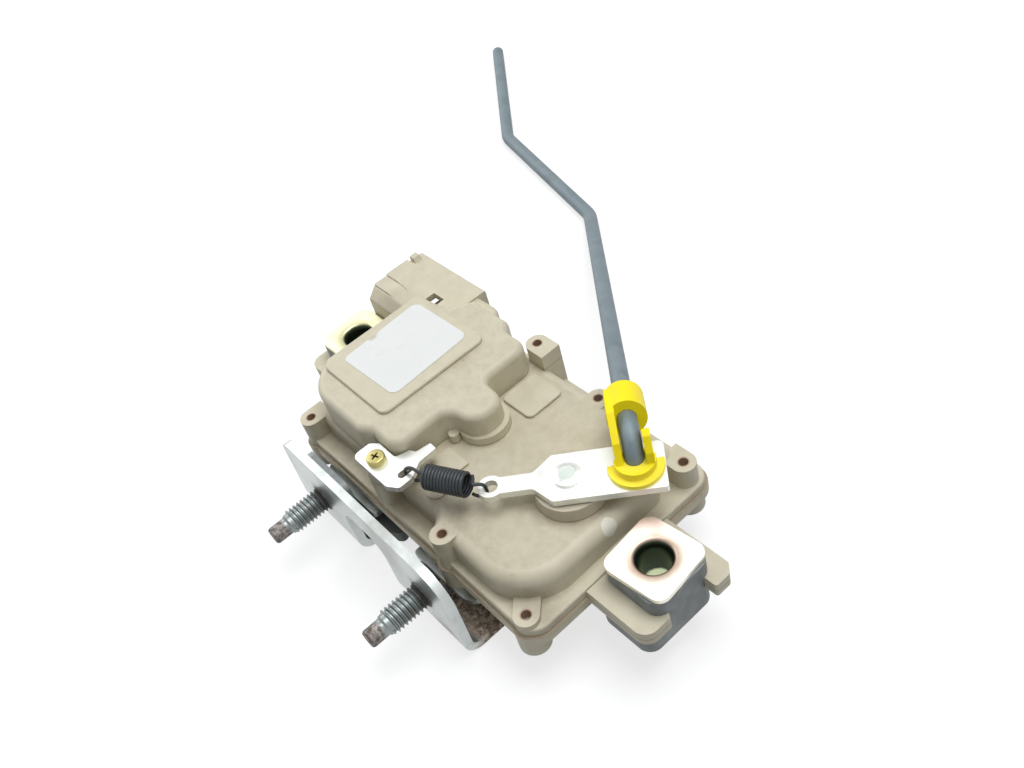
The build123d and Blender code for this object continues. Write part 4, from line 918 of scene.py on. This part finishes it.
# %% Finishes of the studs, the rod, the claw and the springs
stud_steel = finish_of(
    "stud_steel", (0.22, 0.245, 0.245), (0.33, 0.36, 0.36), (0.14, 0.11, 0.085), rough=0.36,
    metal=0.95, grain_size=2400.0, bump=0.10, patches=0.45, patch_size=260.0, patch_level=0.5,
)
point_crust = pitted_colour(stud_steel, (0.10, 0.075, 0.06), (0.38, 0.36, 0.345), 900.0)
for x, z in STUD_PLACES:
    mark(stud_steel, point_crust, (x, -46.6, z), 3.5, 0.8, 1.8, rough=0.62, metal=0.5)
    mark(stud_steel, (0.05, 0.04, 0.03), (x, -33.4, z), 3.9, 1.2, 1.6, strength=0.8, rough=0.7)
rod_steel = finish_of(
    "rod_steel", (0.17, 0.22, 0.245), (0.26, 0.31, 0.335), (0.12, 0.145, 0.155), rough=0.60,
    metal=0.45, grain_size=1600.0, bump=0.15, patches=0.5, patch_size=110.0,
)
coated_steel = finish_of(
    "coated_claw", (0.075, 0.085, 0.082), (0.13, 0.14, 0.135), (0.18, 0.15, 0.12), rough=0.55,
    grain_size=1500.0, bump=0.2, patches=0.4, patch_size=120.0,
)
black_wire = finish_of(
    "black_wire", (0.030, 0.036, 0.040), (0.055, 0.064, 0.070), (0.10, 0.08, 0.06), rough=0.42,
    metal=0.4, grain_size=1500.0, bump=0.08, patches=0.35, patch_size=150.0,
)
print("finishes", stud_steel.name, rod_steel.name, coated_steel.name, black_wire.name)

# %% [markdown]
# The collars and the anchor screw are plated and then passivated, which leaves a thin yellow film.
# It pools in rainbow tints at the corners and round the mouth. Painted shade turns the bore a dark
# green, and low in the bore a painted pale green reflection stands for light coming up from below.
# A post of colour round the bore's axis gives each ring its tint.

# %% Finishes of the plated pieces
yellow_plating = finish_of(
    "yellow_plating", (0.90, 0.86, 0.74), (0.93, 0.91, 0.83), (0.74, 0.62, 0.48), rough=0.36,
    metal=0.85, grain_size=1200.0, bump=0.05, patches=0.35, patch_size=70.0,
)
mark(yellow_plating, (0.86, 0.83, 0.55), (-102.0, 0.0, 15.0), 12.0, 5.0, 5.0)
mark(yellow_plating, (0.80, 0.66, 0.55), (-109.0, -6.0, 15.0), 4.0, 3.0, 2.0, strength=0.7)
mark(yellow_plating, (0.66, 0.47, 0.40), (-7.0, 5.6, 15.0), 6.0, 4.5, 2.0, strength=0.8)
for x, ring, share in ((0.0, (0.42, 0.28, 0.21), 0.85), (-102.0, (0.42, 0.40, 0.22), 0.6)):
    mark(yellow_plating, ring, (x, 0.0, 0.0), 6.5, 2.2, 0.8, ROUND_Z, share)
    # painted shade down the bore, nearly black green
    mark(yellow_plating, (0.035, 0.05, 0.03), (x, 0.0, 0.0), 4.3, 0.6, 0.2, ROUND_Z)
    # painted reflection, pale green, low in the bore
    mark(yellow_plating, (0.86, 0.95, 0.62), (x, 0.0, 1.6), 6.3, 0.8, 1.6, (1.2, 1.2, 1.0))
brass = finish_of(
    "plain_brass", (0.72, 0.54, 0.24), (0.78, 0.62, 0.32), (0.40, 0.26, 0.10), rough=0.3,
    metal=1.0, grain_size=1500.0, bump=0.05, patches=0.3,
)
screw_gold = finish_of(
    "gold_passivated", (0.42, 0.37, 0.13), (0.54, 0.485, 0.24), (0.12, 0.09, 0.03), rough=0.34,
    metal=0.9, grain_size=1500.0, bump=0.05, patches=0.5, patch_size=300.0,
)
# painted shade in the cross recess of the screw head, with a rougher surface there
mark(screw_gold, (0.06, 0.04, 0.02), (-57.5, -23.1, 22.0), 1.5, 0.6, 0.2,
     (1.0, 1.0, 2.6), rough=0.7)
print("finishes", yellow_plating.name, brass.name, screw_gold.name)

# %% [markdown]
# The clip is a strong yellow plastic, paler on its flange. The grommets are dusty grey rubber.
# The label is a plain pale film with one torn spot near its corner, where the glue shows. The
# hidden gears and bushes are natural white acetal. Moulded plastics have no metal in them, so
# their look rests on colour and roughness, and the clip's shine is held down to keep its yellow.

# %% Finishes of the moulded small parts and the label
clip_plastic = finish_of(
    "yellow_clip", (0.99, 0.80, 0.004), (1.0, 0.87, 0.008), (0.85, 0.62, 0.004), rough=0.45,
    grain_size=1500.0, bump=0.04, mottle=0.6, patches=0.3, patch_size=150.0,
)
clip_plastic.node_tree.nodes["Principled BSDF"].inputs["Specular IOR Level"].default_value = 0.25
mark(clip_plastic, (1.0, 0.86, 0.10), (-13.4, 10.3, 22.0), 8.0, 1.5, 1.0, (1.0, 1.0, 3.4), 0.6)
dark_rubber = finish_of(
    "dark_rubber", (0.13, 0.148, 0.153), (0.30, 0.33, 0.335), (0.42, 0.45, 0.45), rough=0.50,
    grain_size=2200.0, bump=0.15, mottle=0.8, patches=0.55, patch_size=95.0, patch_level=0.5,
)
label_film = finish_of(
    "label_film", (0.73, 0.755, 0.75), (0.77, 0.79, 0.785), (0.58, 0.56, 0.49), rough=0.42,
    grain_size=900.0, bump=0.03, mottle=0.5, patches=0.18, patch_size=110.0,
)
mark(label_film, (0.50, 0.47, 0.38), (-86.3, -2.5, 25.6), 2.1, 1.2, 3.2, strength=0.85, rough=0.7)
acetal = finish_of(
    "natural_acetal", (0.78, 0.76, 0.70), (0.82, 0.80, 0.75), (0.55, 0.50, 0.40), rough=0.45,
    grain_size=1500.0, bump=0.04, patches=0.2,
)
print("finishes", clip_plastic.name, dark_rubber.name, label_film.name, acetal.name)

# %% [markdown]
# Last, each solid and each piece made here takes its finish. A table of names by finish is
# easier to check than a line for each, and the print shows that no solid was forgotten.

# %% Every solid takes its finish
node_finish = {
    tan_plastic: ["housing_case", "housing_cover"],
    zinc_plate: ["lever", "output_shaft", "spring_anchor", "cover_screws", "frame_screws",
                 "frame_spacers", "pivot_rivets", "release_arm", "wheel_pin", "motor_shaft",
                 "motor_can"],
    galvanised: ["latch_frame", "mount_studs"],
    oiled_steel: ["back_plate"],
    rod_steel: ["control_rod"],
    yellow_plating: ["collar_right", "collar_left"],
    clip_plastic: ["rod_clip"],
    dark_rubber: ["grommet_right", "grommet_left", "striker_buffer"],
    black_wire: ["return_spring", "fork_spring", "pawl_spring"],
    coated_steel: ["fork_bolt", "pawl"],
    label_film: ["label"],
    acetal: ["shaft_bushes", "drive_arm", "worm_wheel", "motor_end_cap"],
    brass: ["worm", "connector_terminals"],
    screw_gold: ["anchor_screw"],
}
finished = [
    (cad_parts[name], finish) for finish, names in node_finish.items() for name in names
]
finished += [(studs, stud_steel), (spring, black_wire), (head, screw_gold), (lining, tan_plastic)]
finished += [(collar, yellow_plating) for collar in collars]
for piece, finish in finished:
    piece.data.materials.clear()
    piece.data.materials.append(finish)
unfinished = set(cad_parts) - {n for names in node_finish.values() for n in names}
print("finishes", len(node_finish), "solids left without one", sorted(unfinished))
